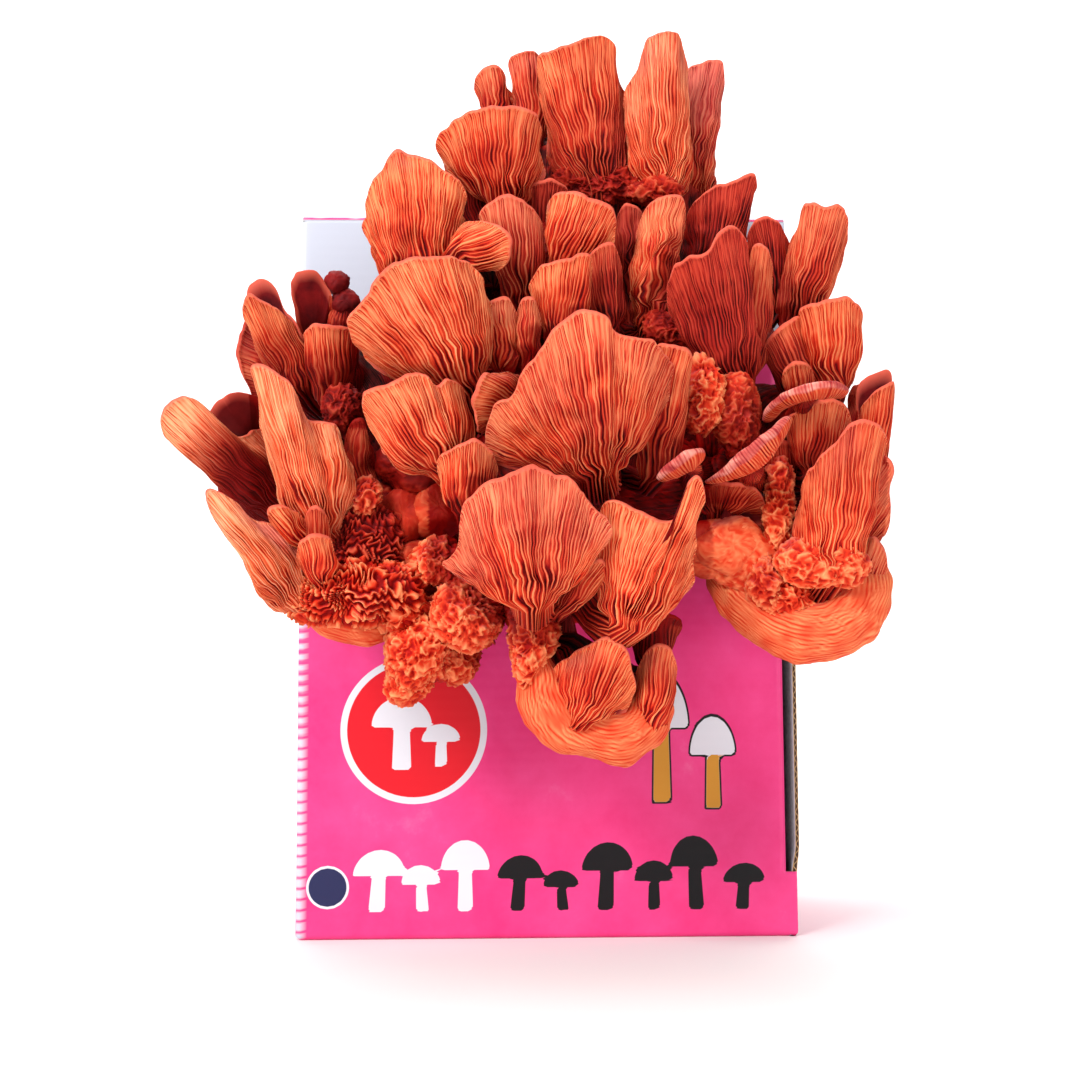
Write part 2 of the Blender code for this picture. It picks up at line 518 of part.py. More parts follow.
def make_block(home):
    """The block of grain and sawdust that the mushrooms feed on. It fills the carton."""
    inset = BOARD + CLEARANCE
    half_w, half_d = CARTON_WIDTH / 2 - inset, CARTON_DEPTH / 2 - inset
    block = box("substrate_block", (-half_w, -half_d, BOARD + GAP), (half_w, half_d, CARTON_HEIGHT - inset), home)
    bevel = block.modifiers.new("Edges", "BEVEL")
    bevel.width = BLOCK_EDGE
    bevel.segments = 2
    return block


def make_base(name, home, tools):
    """The cluster's foot: a neck through the window, and the lump that the branches leave."""
    face = -CARTON_DEPTH / 2
    back = face + BOARD + CLEARANCE - GAP
    neck = drum(name + "_neck", WINDOW_RADIUS - NECK_CLEARANCE, face - NECK_LENGTH, back, tools)
    lump = ellipsoid(name + "_lump", seen(BASE_CENTRE), BASE_RADII, tools, BASE_SPHERE)
    front = box(name + "_front", (-AMPLE, face - AMPLE, 0), (AMPLE, face - GAP, AMPLE), tools)
    boolean(lump, "INTERSECT", front)
    boolean(lump, "UNION", neck)
    return settled(lump, name, home)


def make_branch(name, branch, home):
    """A trunk, its limbs, the mushrooms that they carry, and its lumps and bowls, in one solid."""
    shoulder = seen(branch.shoulder)
    whole = rod(name + "_trunk", seen(BASE_CENTRE), shoulder, (branch.thickness, branch.thickness), home)
    pieces = []
    for order, limb in enumerate(branch.limbs):
        fork = seen(limb.fork)
        pieces.append(rod(f"{name}_limb_{order}", shoulder, fork, (limb.thickness, limb.thickness), home))
        for number, cap in enumerate(limb.caps):
            pieces.append(cap_object(f"{name}_cap_{order}_{number}", cap, limb.fork, limb.thickness, home))
    for number, (centre, radii) in enumerate(LUMPS[name]):
        pieces.append(ellipsoid(f"{name}_lump_{number}", seen(centre), radii, home))
    for number, (way, radii) in enumerate(BOWLS.get(name, [])):
        places = seen(way)
        for leg in range(len(way) - 1):
            pieces.append(rod(f"{name}_bowl_{number}_{leg}", places[leg], places[leg + 1], radii[leg:leg + 2], home))
    for piece in pieces:
        boolean(whole, "UNION", piece)
    joined = settled(whole, name + "_joined", home)
    thin_out = joined.modifiers.new("Fewer faces", "DECIMATE")
    thin_out.ratio = KEPT_FACES
    return joined


def swollen(obj, home):
    """A copy of a solid that is fatter by the gap which its neighbours keep to it."""
    copy = settled(obj, obj.name + "_and_gap", home)
    swell = copy.modifiers.new("Gap", "DISPLACE")
    swell.strength = 2 * GAP
    swell.mid_level = 0.0
    return copy


def main():
    for obj in list(bpy.data.objects):
        bpy.data.objects.remove(obj, do_unlink=True)
    home, tools = collection(SUBJECT), collection("Cutters")
    coral = material("coral mushroom", CORAL, 0.6)
    flesh = material("pale mushroom flesh", PALE_CORAL, 0.6)
    board = material("printed board", PINK_BOARD, 0.5)
    grain = material("grain block", GRAIN, 0.9)

    make_carton(home, tools).data.materials.append(board)
    make_block(home).data.materials.append(grain)
    base = make_base("cluster_base", home, tools)
    base.data.materials.append(flesh)
    wall = box("carton_and_gap", (-AMPLE, -CARTON_DEPTH / 2 - GAP, 0), (AMPLE, AMPLE, CARTON_HEIGHT + GAP), tools)
    taken = [wall, swollen(base, tools)]
    for name, branch in BRANCHES.items():
        joined = make_branch(name, branch, tools)
        for tool in taken:
            boolean(joined, "DIFFERENCE", tool)
        node = settled(joined, name, home)
        node.data.materials.append(coral)
        taken += [node, swollen(node, tools)]

    for tool in tools.objects:
        tool.hide_render = True
        tool.display_type = "WIRE"
    for obj in home.objects:
        print(obj.name, len(obj.data.polygons), "faces")


main()
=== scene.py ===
# %% [markdown]
# # A grow kit with a cluster of coral oyster mushrooms
# The solids come in first, as a fixed frame: the carton, the block inside it, and the cluster's
# base and four branches. Everything here is in metres, in the same place as those solids. The
# cluster's plain solids are then replaced, mushroom by mushroom, by surfaces with real gills.

# %% The frame
from collections import namedtuple

import bpy
import numpy as np
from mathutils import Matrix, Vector


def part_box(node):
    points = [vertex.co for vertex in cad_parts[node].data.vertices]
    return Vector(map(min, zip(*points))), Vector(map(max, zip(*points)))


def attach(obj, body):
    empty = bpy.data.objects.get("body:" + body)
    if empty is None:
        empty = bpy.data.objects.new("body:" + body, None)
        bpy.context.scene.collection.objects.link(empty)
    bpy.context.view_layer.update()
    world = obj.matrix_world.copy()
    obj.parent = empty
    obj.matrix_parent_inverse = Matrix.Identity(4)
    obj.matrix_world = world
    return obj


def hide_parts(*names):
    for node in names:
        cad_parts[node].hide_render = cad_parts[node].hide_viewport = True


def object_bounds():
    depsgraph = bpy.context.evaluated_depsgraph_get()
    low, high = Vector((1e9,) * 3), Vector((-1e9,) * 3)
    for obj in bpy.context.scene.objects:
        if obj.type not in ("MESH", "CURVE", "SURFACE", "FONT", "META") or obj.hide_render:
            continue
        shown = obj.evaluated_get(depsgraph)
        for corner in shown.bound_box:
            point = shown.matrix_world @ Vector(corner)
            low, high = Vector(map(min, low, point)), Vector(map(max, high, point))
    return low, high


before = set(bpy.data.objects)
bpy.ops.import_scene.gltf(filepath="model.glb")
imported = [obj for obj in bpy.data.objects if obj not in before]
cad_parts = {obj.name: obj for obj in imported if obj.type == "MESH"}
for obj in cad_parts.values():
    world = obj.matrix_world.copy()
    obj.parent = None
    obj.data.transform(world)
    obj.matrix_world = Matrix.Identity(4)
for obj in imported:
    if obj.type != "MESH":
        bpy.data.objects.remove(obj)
CAD_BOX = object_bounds()
MM = 0.001
print("solids:", ", ".join(sorted(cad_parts)))

# %% [markdown]
# ## The camera
# The photo was taken from low down and close by: the carton's top is a little narrower than its
# foot. Four corners of its front gave the place of the eye. The same eye is used below to place
# mushrooms by where they are seen.

# %% The camera
EYE = np.array([-18.5, -591.0, 79.4]) * MM
YAW, PITCH, ROLL = np.radians([1.77, 5.53, -0.25])
FOCAL_PIXELS, FRAME_PIXELS, SENSOR_MM = 1600.0, 1080.0, 36.0

AHEAD = np.array([np.sin(YAW) * np.cos(PITCH), np.cos(YAW) * np.cos(PITCH), np.sin(PITCH)])
SIDEWAYS = np.array([np.cos(YAW), -np.sin(YAW), 0.0])
UPWARD = np.cross(SIDEWAYS, AHEAD)

camera = bpy.data.objects.new("camera", bpy.data.cameras.new("camera"))
camera.data.sensor_width = SENSOR_MM
camera.data.lens = FOCAL_PIXELS / FRAME_PIXELS * SENSOR_MM
camera.data.clip_start = 10 * MM
camera.location = EYE
camera.rotation_euler = Vector(AHEAD).to_track_quat("-Z", "Y").to_euler()
camera.rotation_euler.rotate_axis("Z", ROLL)
bpy.context.scene.collection.objects.link(camera)
bpy.context.scene.camera = camera
bpy.context.scene.view_settings.view_transform = "Standard"
print(f"lens {camera.data.lens:.1f} mm, {-EYE[1] / MM:.0f} mm in front of the carton's middle")

# %% [markdown]
# ## Places seen from the eye
# A place is written as (x, y, reach): its point in the frame of 1080 points, from the top left, and
# how many millimetres in front of the carton's face it stands, along the same line of sight. So a
# cap can be moved nearer or further and still be seen in the same spot.

# %% Places
CARTON_WIDTH, CARTON_DEPTH, CARTON_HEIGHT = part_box("carton")[1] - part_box("carton")[0]
print(f"carton {CARTON_WIDTH / MM:.0f} x {CARTON_DEPTH / MM:.0f} x {CARTON_HEIGHT / MM:.0f} mm")


def seen(places):
    """EYE + t (AHEAD + (SIDEWAYS (x - middle) + UPWARD (middle - y)) / FOCAL_PIXELS), with t such that
    the place is `reach` before the face."""
    x, y, reach = np.moveaxis(np.asarray(places, float), -1, 0)[..., None]
    middle = FRAME_PIXELS / 2
    sight = AHEAD + (SIDEWAYS * (x - middle) + UPWARD * (middle - y)) / FOCAL_PIXELS
    t = (-CARTON_DEPTH / 2 - reach * MM - EYE[1]) / sight[..., 1:2]
    return EYE + sight * t


# %% [markdown]
# ## Small tools
# Grids of points become meshes in one step. Smooth random numbers come from a cube of fixed random
# values that is read between its corners: nothing else here is random.

# %% Numbers that run smoothly
LATTICE_SIZE = 32
LATTICE = np.random.default_rng(11).uniform(-1.0, 1.0, (LATTICE_SIZE,) * 3)
SKEW = np.array([[0.36, 0.48, -0.8], [-0.8, 0.6, 0.0], [0.48, 0.64, 0.6]])     # a rotation
SEED_SHIFT = np.array([7.31, 3.17, 5.73])         # how many cells each step of a seed moves the lattice


def smooth(low, high, x):
    """0 below low, 1 above high, 3t^2 - 2t^3 between."""
    t = np.clip((x - low) / (high - low), 0.0, 1.0)
    return t * t * (3.0 - 2.0 * t)


def cloud(points, size, seed=0):
    """Smooth random numbers, -1 to 1, at points: `size` is the distance between lattice corners. The
    lattice is turned askew, so that none of its planes is level or upright."""
    p = points @ SKEW / size + seed * SEED_SHIFT
    cell = np.floor(p).astype(int)
    f = p - cell
    f = f * f * (3.0 - 2.0 * f)
    total = 0.0
    for corner in np.ndindex(2, 2, 2):
        weight = np.prod(np.where(corner, f, 1.0 - f), axis=-1)
        i, j, k = np.moveaxis((cell + corner) % LATTICE_SIZE, -1, 0)
        total = total + weight * LATTICE[i, j, k]
    return total


print(f"{LATTICE.size} random values in the lattice")


# %% Lines and grids of points
def unit(v):
    """v / |v| along the last axis."""
    return v / np.maximum(np.linalg.norm(v, axis=-1, keepdims=True), 1e-12)


def normals(grid):
    """The cross product of a grid's two directions: columns close on themselves, rows don't."""
    around = np.roll(grid, -1, 1) - np.roll(grid, 1, 1)
    return unit(np.cross(around, np.gradient(grid, axis=0)))


def walked(points):
    """How far along a line of points each one lies, from 0 at the first."""
    return np.cumsum(np.linalg.norm(np.diff(points, axis=0, prepend=points[:1]), axis=1))


def resampled(places, known, points):
    """The line of points that is given at `known`, read at `places`: straight between neighbours."""
    return np.stack([np.interp(places, known, points[:, k]) for k in range(3)], -1)


def smoothed(points, kernel):
    """A weighted moving mean of a line of points, where the whole kernel fits."""
    return np.stack([np.convolve(points[:, k], kernel, "valid") for k in range(3)], -1)


# %% From points to pieces
def new_piece(name, places, faces, marks, materials, kinds=0, is_smooth=True):
    """An object from points and faces. `faces` holds an array for each number of corners; a face's
    kind picks its material, and each point carries the marks."""
    mesh = bpy.data.meshes.new(name)
    mesh.vertices.add(len(places))
    mesh.vertices.foreach_set("co", places.astype(np.float32).ravel())
    loops = np.concatenate([group.ravel() for group in faces])
    sizes = np.concatenate([np.full(*group.shape) for group in faces])
    mesh.loops.add(len(loops))
    mesh.loops.foreach_set("vertex_index", loops.astype(np.int32))
    mesh.polygons.add(len(sizes))
    mesh.polygons.foreach_set("loop_start", (np.cumsum(sizes) - sizes).astype(np.int32))
    for material in materials:
        mesh.materials.append(material)
    mesh.polygons.foreach_set("material_index", np.broadcast_to(kinds, sizes.shape).astype(np.int32))
    mesh.polygons.foreach_set("use_smooth", np.broadcast_to(is_smooth, sizes.shape).astype(bool))
    mesh.update(calc_edges=True)
    for mark_name, values in marks.items():
        layer = mesh.attributes.new(mark_name, "FLOAT", "POINT")
        layer.data.foreach_set("value", values.astype(np.float32))
    piece = bpy.data.objects.new(name, mesh)
    bpy.context.scene.collection.objects.link(piece)
    return piece


def grid_mesh(name, grid, marks, material):
    """A closed skin from rows of points: neighbours joined in quads, one point at each end. Its
    faces are turned where the volume that they enclose is below 0."""
    rows, columns = grid.shape[:2]
    ends = np.array([grid[0].mean(0), grid[-1].mean(0)])
    places = np.concatenate([grid.reshape(-1, 3), ends])
    index = np.arange(rows * columns).reshape(rows, columns)
    right = np.roll(index, -1, 1)
    quads = np.stack([index[:-1], right[:-1], right[1:], index[1:]], -1).reshape(-1, 4)
    foot = np.stack([np.full(columns, rows * columns), right[0], index[0]], -1)
    top = np.stack([np.full(columns, rows * columns + 1), index[-1], right[-1]], -1)
    low, mid, high = places[quads[:, 0]], places[quads[:, 1]], places[quads[:, 3]]
    volume = np.einsum("ij,ij->i", low, np.cross(mid, high)).sum()
    if volume < 0.0:
        quads, foot, top = quads[:, ::-1], foot[:, ::-1], top[:, ::-1]
    marks = {mark_name: np.concatenate([values.ravel(), [values[0].mean(), values[-1].mean()]])
             for mark_name, values in marks.items()}
    return new_piece(name, places, [quads, foot, top], marks, [material])


# %% [markdown]
# ## Materials
# One function turns hex colours to linear ones, one adds a node, and one sets what is the same all
# over. A material's pattern is read from Object coordinates and from marks that the surfaces carry.
# A noise's scale counts its cells in a metre, so 1 / scale is the size of its flecks.

# %% Nodes and materials
def linear(hex_colour):
    """sRGB hex to linear: ((c + 0.055) / 1.055) ^ 2.4 above 0.04045, c / 12.92 below."""
    c = np.array([int(hex_colour[i:i + 2], 16) / 255 for i in (1, 3, 5)])
    return (*np.where(c > 0.04045, ((c + 0.055) / 1.055) ** 2.4, c / 12.92), 1.0)


def node(tree, kind, settings=None, **links):
    """Add a node. `settings` are its properties, and its inputs by number or name. A link is named
    for its input too, i0 for number 0, and its value is another node or one of its sockets."""
    made = tree.nodes.new("ShaderNode" + kind)
    for key, value in (settings or {}).items():
        if isinstance(key, str) and hasattr(made, key):
            setattr(made, key, value)
        else:
            made.inputs[key].default_value = value
    for key, source in links.items():
        target = made.inputs[int(key[1:])] if key[0] == "i" and key[1:].isdigit() else made.inputs[key]
        socket = source.outputs[0] if hasattr(source, "outputs") else source
        tree.links.new(socket, target)
    return made


def new_material(name):
    """A material with its node tree, its Principled shader and its Object coordinates."""
    made = bpy.data.materials.new(name)
    made.use_nodes = True
    tree = made.node_tree
    place = tree.nodes.new("ShaderNodeTexCoord").outputs["Object"]
    return made, tree, tree.nodes["Principled BSDF"], place


def finish(shader, values):
    """Numbers and colours that are the same all over, set on the shader's own sockets."""
    for name, value in values.items():
        shader.inputs[name].default_value = value


# %% Ramps, mixes and marks
def ramp(tree, factor, stops):
    """A colour ramp: stops are (position, hex)."""
    made = node(tree, "ValToRGB")
    tree.links.new(factor, made.inputs[0])
    elements = made.color_ramp.elements
    while len(elements) < len(stops):
        elements.new(0.5)
    for element, (position, colour) in zip(elements, stops):
        element.position = position
        element.color = linear(colour)
    return made.outputs[0]


def mix(tree, factor, first, second, blend="MIX"):
    """One colour over another."""
    made = tree.nodes.new("ShaderNodeMix")
    made.data_type = "RGBA"
    made.blend_type = blend
    for number, source in ((0, factor), (6, first), (7, second)):
        if isinstance(source, (float, tuple)):
            made.inputs[number].default_value = source
        else:
            tree.links.new(source, made.inputs[number])
    return made.outputs[2]


def mark(tree, name):
    """A number that each point of the surface carries."""
    return node(tree, "Attribute", {"attribute_name": name}).outputs["Fac"]


# %% [markdown]
# ## Fresh oyster mushroom flesh
# Pink oyster mushrooms that are just ripe: damp, dense flesh with no gloss. Light goes a little way
# in, and the deep folds are painted red instead of grey, as painted shade. Crests are salmon orange,
# valleys are painted blood red as the shade between gills, the upper side is a velvety maroon painted
# dark as shade on the caps' backs, and the rim is a thin pale line. What looks at the sky is painted
# mauve, a painted sky light. The surfaces carry these as marks, because they follow the gills and
# not a grid.

# %% Fine lines between the gills
def gill_lines(tree, marks):
    """Fine gills between the modelled ones. `gill` counts gills round the cap and `out` centimetres
    along them, so noise read at (gill, out) runs along the gills: one sways the lines, one makes
    some deep and others shallow. The lines are 0.5 + 0.5 cos(2 pi n gill), n = 2 where gills are
    wide apart and 1 nearer the stem."""
    gill, comb = marks["gill"], marks["comb"]
    sheet = node(tree, "CombineXYZ", X=gill, Y=marks["out"])
    sway = node(tree, "TexNoise", {"Scale": 0.9, "Detail": 2.0}, Vector=sheet)
    strength = node(tree, "TexNoise", {"Scale": 0.75, "Detail": 2.0, "Roughness": 0.6}, Vector=sheet)
    swayed = node(tree, "Math", {"operation": "MULTIPLY_ADD", 1: 1.1}, i0=sway, i2=gill)
    lines = []
    for count in (1.0, 2.0):
        turn = node(tree, "Math", {"operation": "MULTIPLY", 1: 2 * np.pi * count}, i0=swayed)
        lines.append(node(tree, "Math", {"operation": "COSINE"}, i0=turn))
    finer = node(tree, "MapRange", {"From Min": 0.5, "From Max": 0.8}, Value=comb)
    line = node(tree, "Mix", {"data_type": "FLOAT"}, i0=finer, i2=lines[0], i3=lines[1])
    here = node(tree, "MapRange", {"From Min": 0.12, "From Max": 0.4}, Value=comb)
    spread = {"From Min": 0.40, "From Max": 0.60, "To Min": 0.06, "To Max": 0.52}
    deep = node(tree, "MapRange", spread, Value=strength)
    size = node(tree, "Math", {"operation": "MULTIPLY"}, i0=here, i1=deep)
    valley = node(tree, "MapRange", {"From Min": 0.3, "From Max": -1.0}, Value=line)
    return node(tree, "Math", {"operation": "MULTIPLY"}, i0=valley, i1=size).outputs[0]


# %% Mushroom flesh
MOTTLE_SCALE, GRAIN_SCALE = 120.0, 900.0  # flecks of 8.3 mm in the velvet, and of 1.1 mm in the skin
CREST_STOPS = (0.0, 0.25, 0.55, 1.0)      # from a valley to the crest of a gill
# each ramp runs from a valley painted dark as the shade between gills to a pale crest
BRIGHT = ("#5E0106", "#AE0E09", "#E03C1D", "#FF9C66")
MAUVE = ("#5A0612", "#9C2024", "#C84A44", "#F09078")
# painted shade: the ramp for caps and lumps deep in the shade
SHADE_REDS = ("#2A0206", "#640809", "#A01C15", "#CE4630")
PEACH = ("#8E1008", "#D63C1A", "#F47E4C", "#FFC096")
FLESH_MARKS = ("ridge", "gill", "out", "comb", "upper", "rim", "inward", "deep",
               "mauve", "pale", "peach", "dark")


def mushroom_flesh():
    """Colour from marks: one ramp from valley to crest for each tint, its valleys painted dark as shade,
    with painted sky light in mauve and painted shade where `dark` is high; then the velvet upper side,
    painted dark as shade, the rim and the pale margins over it, and the painted shade of the folds and
    funnels multiplied in last."""
    made, tree, shader, place = new_material("fresh oyster mushroom flesh")
    marks = {name: mark(tree, name) for name in FLESH_MARKS}
    cut = gill_lines(tree, marks)
    # the fine lines darken the colour in their valleys: painted shade
    crest = node(tree, "Math", {"operation": "SUBTRACT", "use_clamp": True}, i0=marks["ridge"], i1=cut)
    bright, peach, mauve, shade_reds = (ramp(tree, crest.outputs[0], list(zip(CREST_STOPS, tint)))
                                   for tint in (BRIGHT, PEACH, MAUVE, SHADE_REDS))
    colour = mix(tree, marks["peach"], bright, peach)
    # painted sky light: what faces up turns mauve
    colour = mix(tree, marks["mauve"], colour, mauve)
    # painted shade where the mark dark is high
    colour = mix(tree, marks["dark"], colour, shade_reds)
    # the upper side: a mottled velvet, painted dark maroon as the shade on the caps' backs
    mottle = node(tree, "TexNoise", {"Scale": MOTTLE_SCALE, "Detail": 4.0, "Roughness": 0.6}, Vector=place)
    velvet = ramp(tree, mottle.outputs["Fac"], [(0.35, "#4A0810"), (0.65, "#861618")])
    velvet = mix(tree, marks["mauve"], velvet, linear("#A02A2A"))
    colour = mix(tree, marks["upper"], colour, velvet)
    colour = mix(tree, marks["rim"], colour, linear("#E2644E"))
    blush = ramp(tree, crest.outputs[0], [(0.0, "#A02A30"), (0.5, "#CC5A52"), (1.0, "#EE9C8C")])
    colour = mix(tree, marks["pale"], colour, blush)
    # painted shade: red multiplied in towards the stem and in the funnels, then by depth in the cluster
    colour = mix(tree, marks["inward"], colour, linear("#A8281A"), "MULTIPLY")
    colour = mix(tree, marks["deep"], colour, linear("#A01810"), "MULTIPLY")
    tree.links.new(colour, shader.inputs["Base Color"])
    finish(shader, {"Roughness": 0.6, "Specular IOR Level": 0.1, "Subsurface Weight": 0.15,
                    "Subsurface Radius": (1.0, 0.2, 0.1), "Subsurface Scale": 2.0 * MM})
    grain = node(tree, "TexNoise", {"Scale": GRAIN_SCALE, "Detail": 2.0}, Vector=place)
    fine = node(tree, "Bump", {"Strength": 0.25, "Distance": 0.2 * MM}, Height=grain)
    settings = {"Strength": 0.9, "Distance": 0.5 * MM, "invert": True}
    tree.links.new(node(tree, "Bump", settings, Height=cut, Normal=fine).outputs[0], shader.inputs["Normal"])
    return made


FLESH_MATERIAL = mushroom_flesh()
print(len(FLESH_MATERIAL.node_tree.nodes), "nodes in the flesh")

# %% [markdown]
# ## One mushroom
# An oyster mushroom is a funnel with one long lip. Its stem widens into the cap without a joint,
# and the gills run from the stem out to the rim, with shorter ones between them as they spread.
# A cutter or a cloned blade would give loose plates, so each mushroom is one closed skin: rings of
# points from the stem's foot to the rim and back over the upper side, pushed out at each gill.

# %% A closed curve through corners
FULLNESS = 0.8                     # how strongly a curve leaves a corner along its heading


def rounded(corners, count):
    """A closed curve through the corners. A corner's heading is the mean of its two sides' headings;
    between corners it is the cubic that has those headings at its ends."""
    side = np.roll(corners, -1, 0) - corners
    length = np.linalg.norm(side, axis=1, keepdims=True)
    heading = unit(unit(side) + np.roll(unit(side), 1, 0))
    u = np.linspace(0.0, len(corners), count, endpoint=False)
    k = u.astype(int)
    t, n = (u - k)[:, None], (k + 1) % len(corners)
    return u, (corners[k] * (1 + 2 * t) * (1 - t) ** 2 + corners[n] * t * t * (3 - 2 * t)
               + FULLNESS * length[k] * t * (1 - t) * (heading[k] * (1 - t) - heading[n] * t))


# %% The rim's curve
# of the colour settings, dark is painted shade on the whole cap, and the one after mauve paints shade red
# into its funnel
Cap = namedtuple("Cap", "rim hub lip cup back dark mauve hollow frill", defaults=(8, (), 0.2, 0.0, 0.0, 0.0))

GILL_SPACING = 1.5 * MM
COLUMNS_PER_GILL = 3
BACK_ALONG, BACK_ACROSS = 0.1, 0.2         # the two back points' place, in lengths and half widths
FRONT_TURN = np.radians(230)       # how much of the stem's ring feeds the rim's front
CURVE_POINTS, RIM_POINTS = 1440, 720
RIM_SMOOTHING = 1.2 * MM
LOBES, FRAY = 0.035, 0.6 * MM      # how far the rim waves, as a part of its distance, and frays
RUFFLE = 4.5 * MM                  # how far it waves in and out, on a large cap


class Outline:
    """The rim as a closed curve round the hub: through its own points in front, whose reach is
    hub + (lip - hub) c - cup s^2 / 2 with c and s the parts along the cap and across it, and
    through its back points, or two close behind the hub, `cup` further away than the hub."""

    def __init__(self, cap, seed):
        self.seed = seed
        x, y, hub_reach = cap.hub
        off = np.array(cap.rim, float) - (x, y)
        along = unit(off.mean(0))
        turn = np.sign(np.cross(off[:-1], off[1:]).sum())
        across = turn * np.array([-along[1], along[0]])
        c, s = off @ along, off @ across
        length, half_width = c.max(), np.abs(s).max()
        reach = hub_reach + (cap.lip - hub_reach) * c / length - 0.5 * cap.cup * (s / half_width) ** 2
        front = np.column_stack([off + (x, y), reach])
        behind = np.array(cap.back or [
            (x, y) + (BACK_ALONG * length * along + BACK_ACROSS * k * half_width * across) for k in (1, -1)])
        behind = np.column_stack([behind, np.full(len(behind), cap.lip if cap.back else hub_reach) - cap.cup])
        self.hub = seen(cap.hub)
        corners = seen(np.concatenate([front, behind])) - self.hub
        self.follow(corners, len(front))

        self.axis = unit(corners[:len(front)].mean(0))
        sideways = seen((x + across[0], y + across[1], hub_reach)) - self.hub
        self.side = unit(sideways - self.axis * (sideways @ self.axis))
        normal = np.cross(self.side, self.axis)
        self.front = normal * turn * np.sign(normal @ (EYE - self.hub))
        self.length = np.linalg.norm(corners[:len(front)], axis=1).max()
        self.half_width = np.abs(self.curve @ self.side).max()
        self.throat = min(0.42 * self.half_width, 0.09 * self.length + 1.8 * MM)    # the stem's radius

    def follow(self, corners, front_count):
        """The closed curve, evenly divided and smoothed by a Hann window, and the turn round the
        stem that each of its points has: the front takes FRONT_TURN of it. It starts behind."""
        gone = walked(np.concatenate([corners, corners[:1]]))
        at_corner = np.interp(gone, [0.0, gone[front_count - 1], gone[-1]],
                              [-FRONT_TURN / 2, FRONT_TURN / 2, 2 * np.pi - FRONT_TURN / 2])
        u, curve = rounded(corners, CURVE_POINTS)
        turns = np.interp(u, np.arange(len(corners) + 1), at_corner)
        gone = walked(curve)
        even = np.linspace(0.0, gone[-1], RIM_POINTS, endpoint=False)
        curve, turns = resampled(even, gone, curve), np.interp(even, gone, turns)
        spread = max(3, int(RIM_POINTS * RIM_SMOOTHING / gone[-1]))
        window = np.hanning(2 * spread + 3)[1:-1]
        curve = smoothed(np.concatenate([curve[-spread:], curve, curve[:spread]]), window / window.sum())
        seam = np.searchsorted(turns, np.pi)
        self.curve = np.roll(curve, -seam, 0)
        self.turns = np.concatenate([turns[seam:], turns[:seam] + 2 * np.pi])

    def columns(self):
        """The rim's points and their turns round the stem, evenly along it, and the number of gills:
        a multiple of four, 20 or more."""
        closed = np.concatenate([self.curve, self.curve[:1]])
        gone = walked(closed)
        gills = max(5, round(gone[-1] / GILL_SPACING / 4)) * 4
        even = np.arange(gills * COLUMNS_PER_GILL) / (gills * COLUMNS_PER_GILL) * gone[-1]
        turns = np.concatenate([self.turns, [self.turns[0] + 2 * np.pi]])
        rim = resampled(even, gone, closed)
        lobes = cloud(rim, 8 * MM, self.seed)[:, None]
        ragged = cloud(rim, 2.6 * MM, self.seed + 2)[:, None]
        rim = rim * (1.0 + LOBES * lobes) + unit(rim) * FRAY * ragged
        return rim, np.interp(even, gone, turns), gills

    def outward(self, turns):
        """The direction away from the funnel's axis, on the gilled side."""
        return self.front * np.cos(turns)[:, None] + self.side * np.sin(turns)[:, None]

    def ruffle(self, rim):
        """How far the rim waves in and out of the cap's surface."""
        size = min(RUFFLE, 0.22 * self.half_width)
        return size * (cloud(rim, 13 * MM, self.seed + 3) + 0.45 * cloud(rim, 6 * MM, self.seed + 4))[:, None]


print(f"a gill every {GILL_SPACING / MM:.1f} mm at the rim, in {COLUMNS_PER_GILL} columns of points")


# %% Rings of the stem and the cap
ROW_STEP = 1.6 * MM
SPARSE_STEP = 3.0 * ROW_STEP       # on the stem and the upper side, which have no gills
RIM_THICKNESS = 0.8 * MM
RIM_ROWS = np.array([2.2, 1.4, 0.9, 0.45, 0.0]) * MM       # the last rows' distances from the rim
BEAD = 0.6 * MM                    # the rolled rim's place before the edge, and its half width
FUNNEL_WALL = 2.2 * MM


def turned(v, axis, headings):
    """v, square to `axis`, after the smallest turn that takes `axis` to each heading."""
    return v - (axis + headings) * (headings @ v / np.maximum(1.0 + headings @ axis, 0.1))[:, None]


def stem_rings(shape, root, turns):
    """Rings across a bent line from the root to the hub: root + run t + (axis |run| - run) t^2 (t - 1).
    They are a tenth wider at the root, where they close."""
    run = shape.hub - root
    length = np.linalg.norm(run)
    t = np.linspace(0.0, 1.0, max(6, int(length / SPARSE_STEP)), endpoint=False)[:, None]
    line = root + run * t + (shape.axis * length - run) * t * t * (t - 1.0)
    heading = unit(np.gradient(line, axis=0))
    across, ahead = (turned(v, shape.axis, heading) for v in (shape.side, shape.front))
    width = shape.throat * (1.0 + 0.10 * (1.0 - t)) * np.sqrt(np.clip(t / 0.12 + 0.02, 0.0, 1.0))
    ring = ahead[:, None] * np.cos(turns)[None, :, None] + across[:, None] * np.sin(turns)[None, :, None]
    return t[:, 0] - 1.0, line[:, None] + ring * width[:, None]


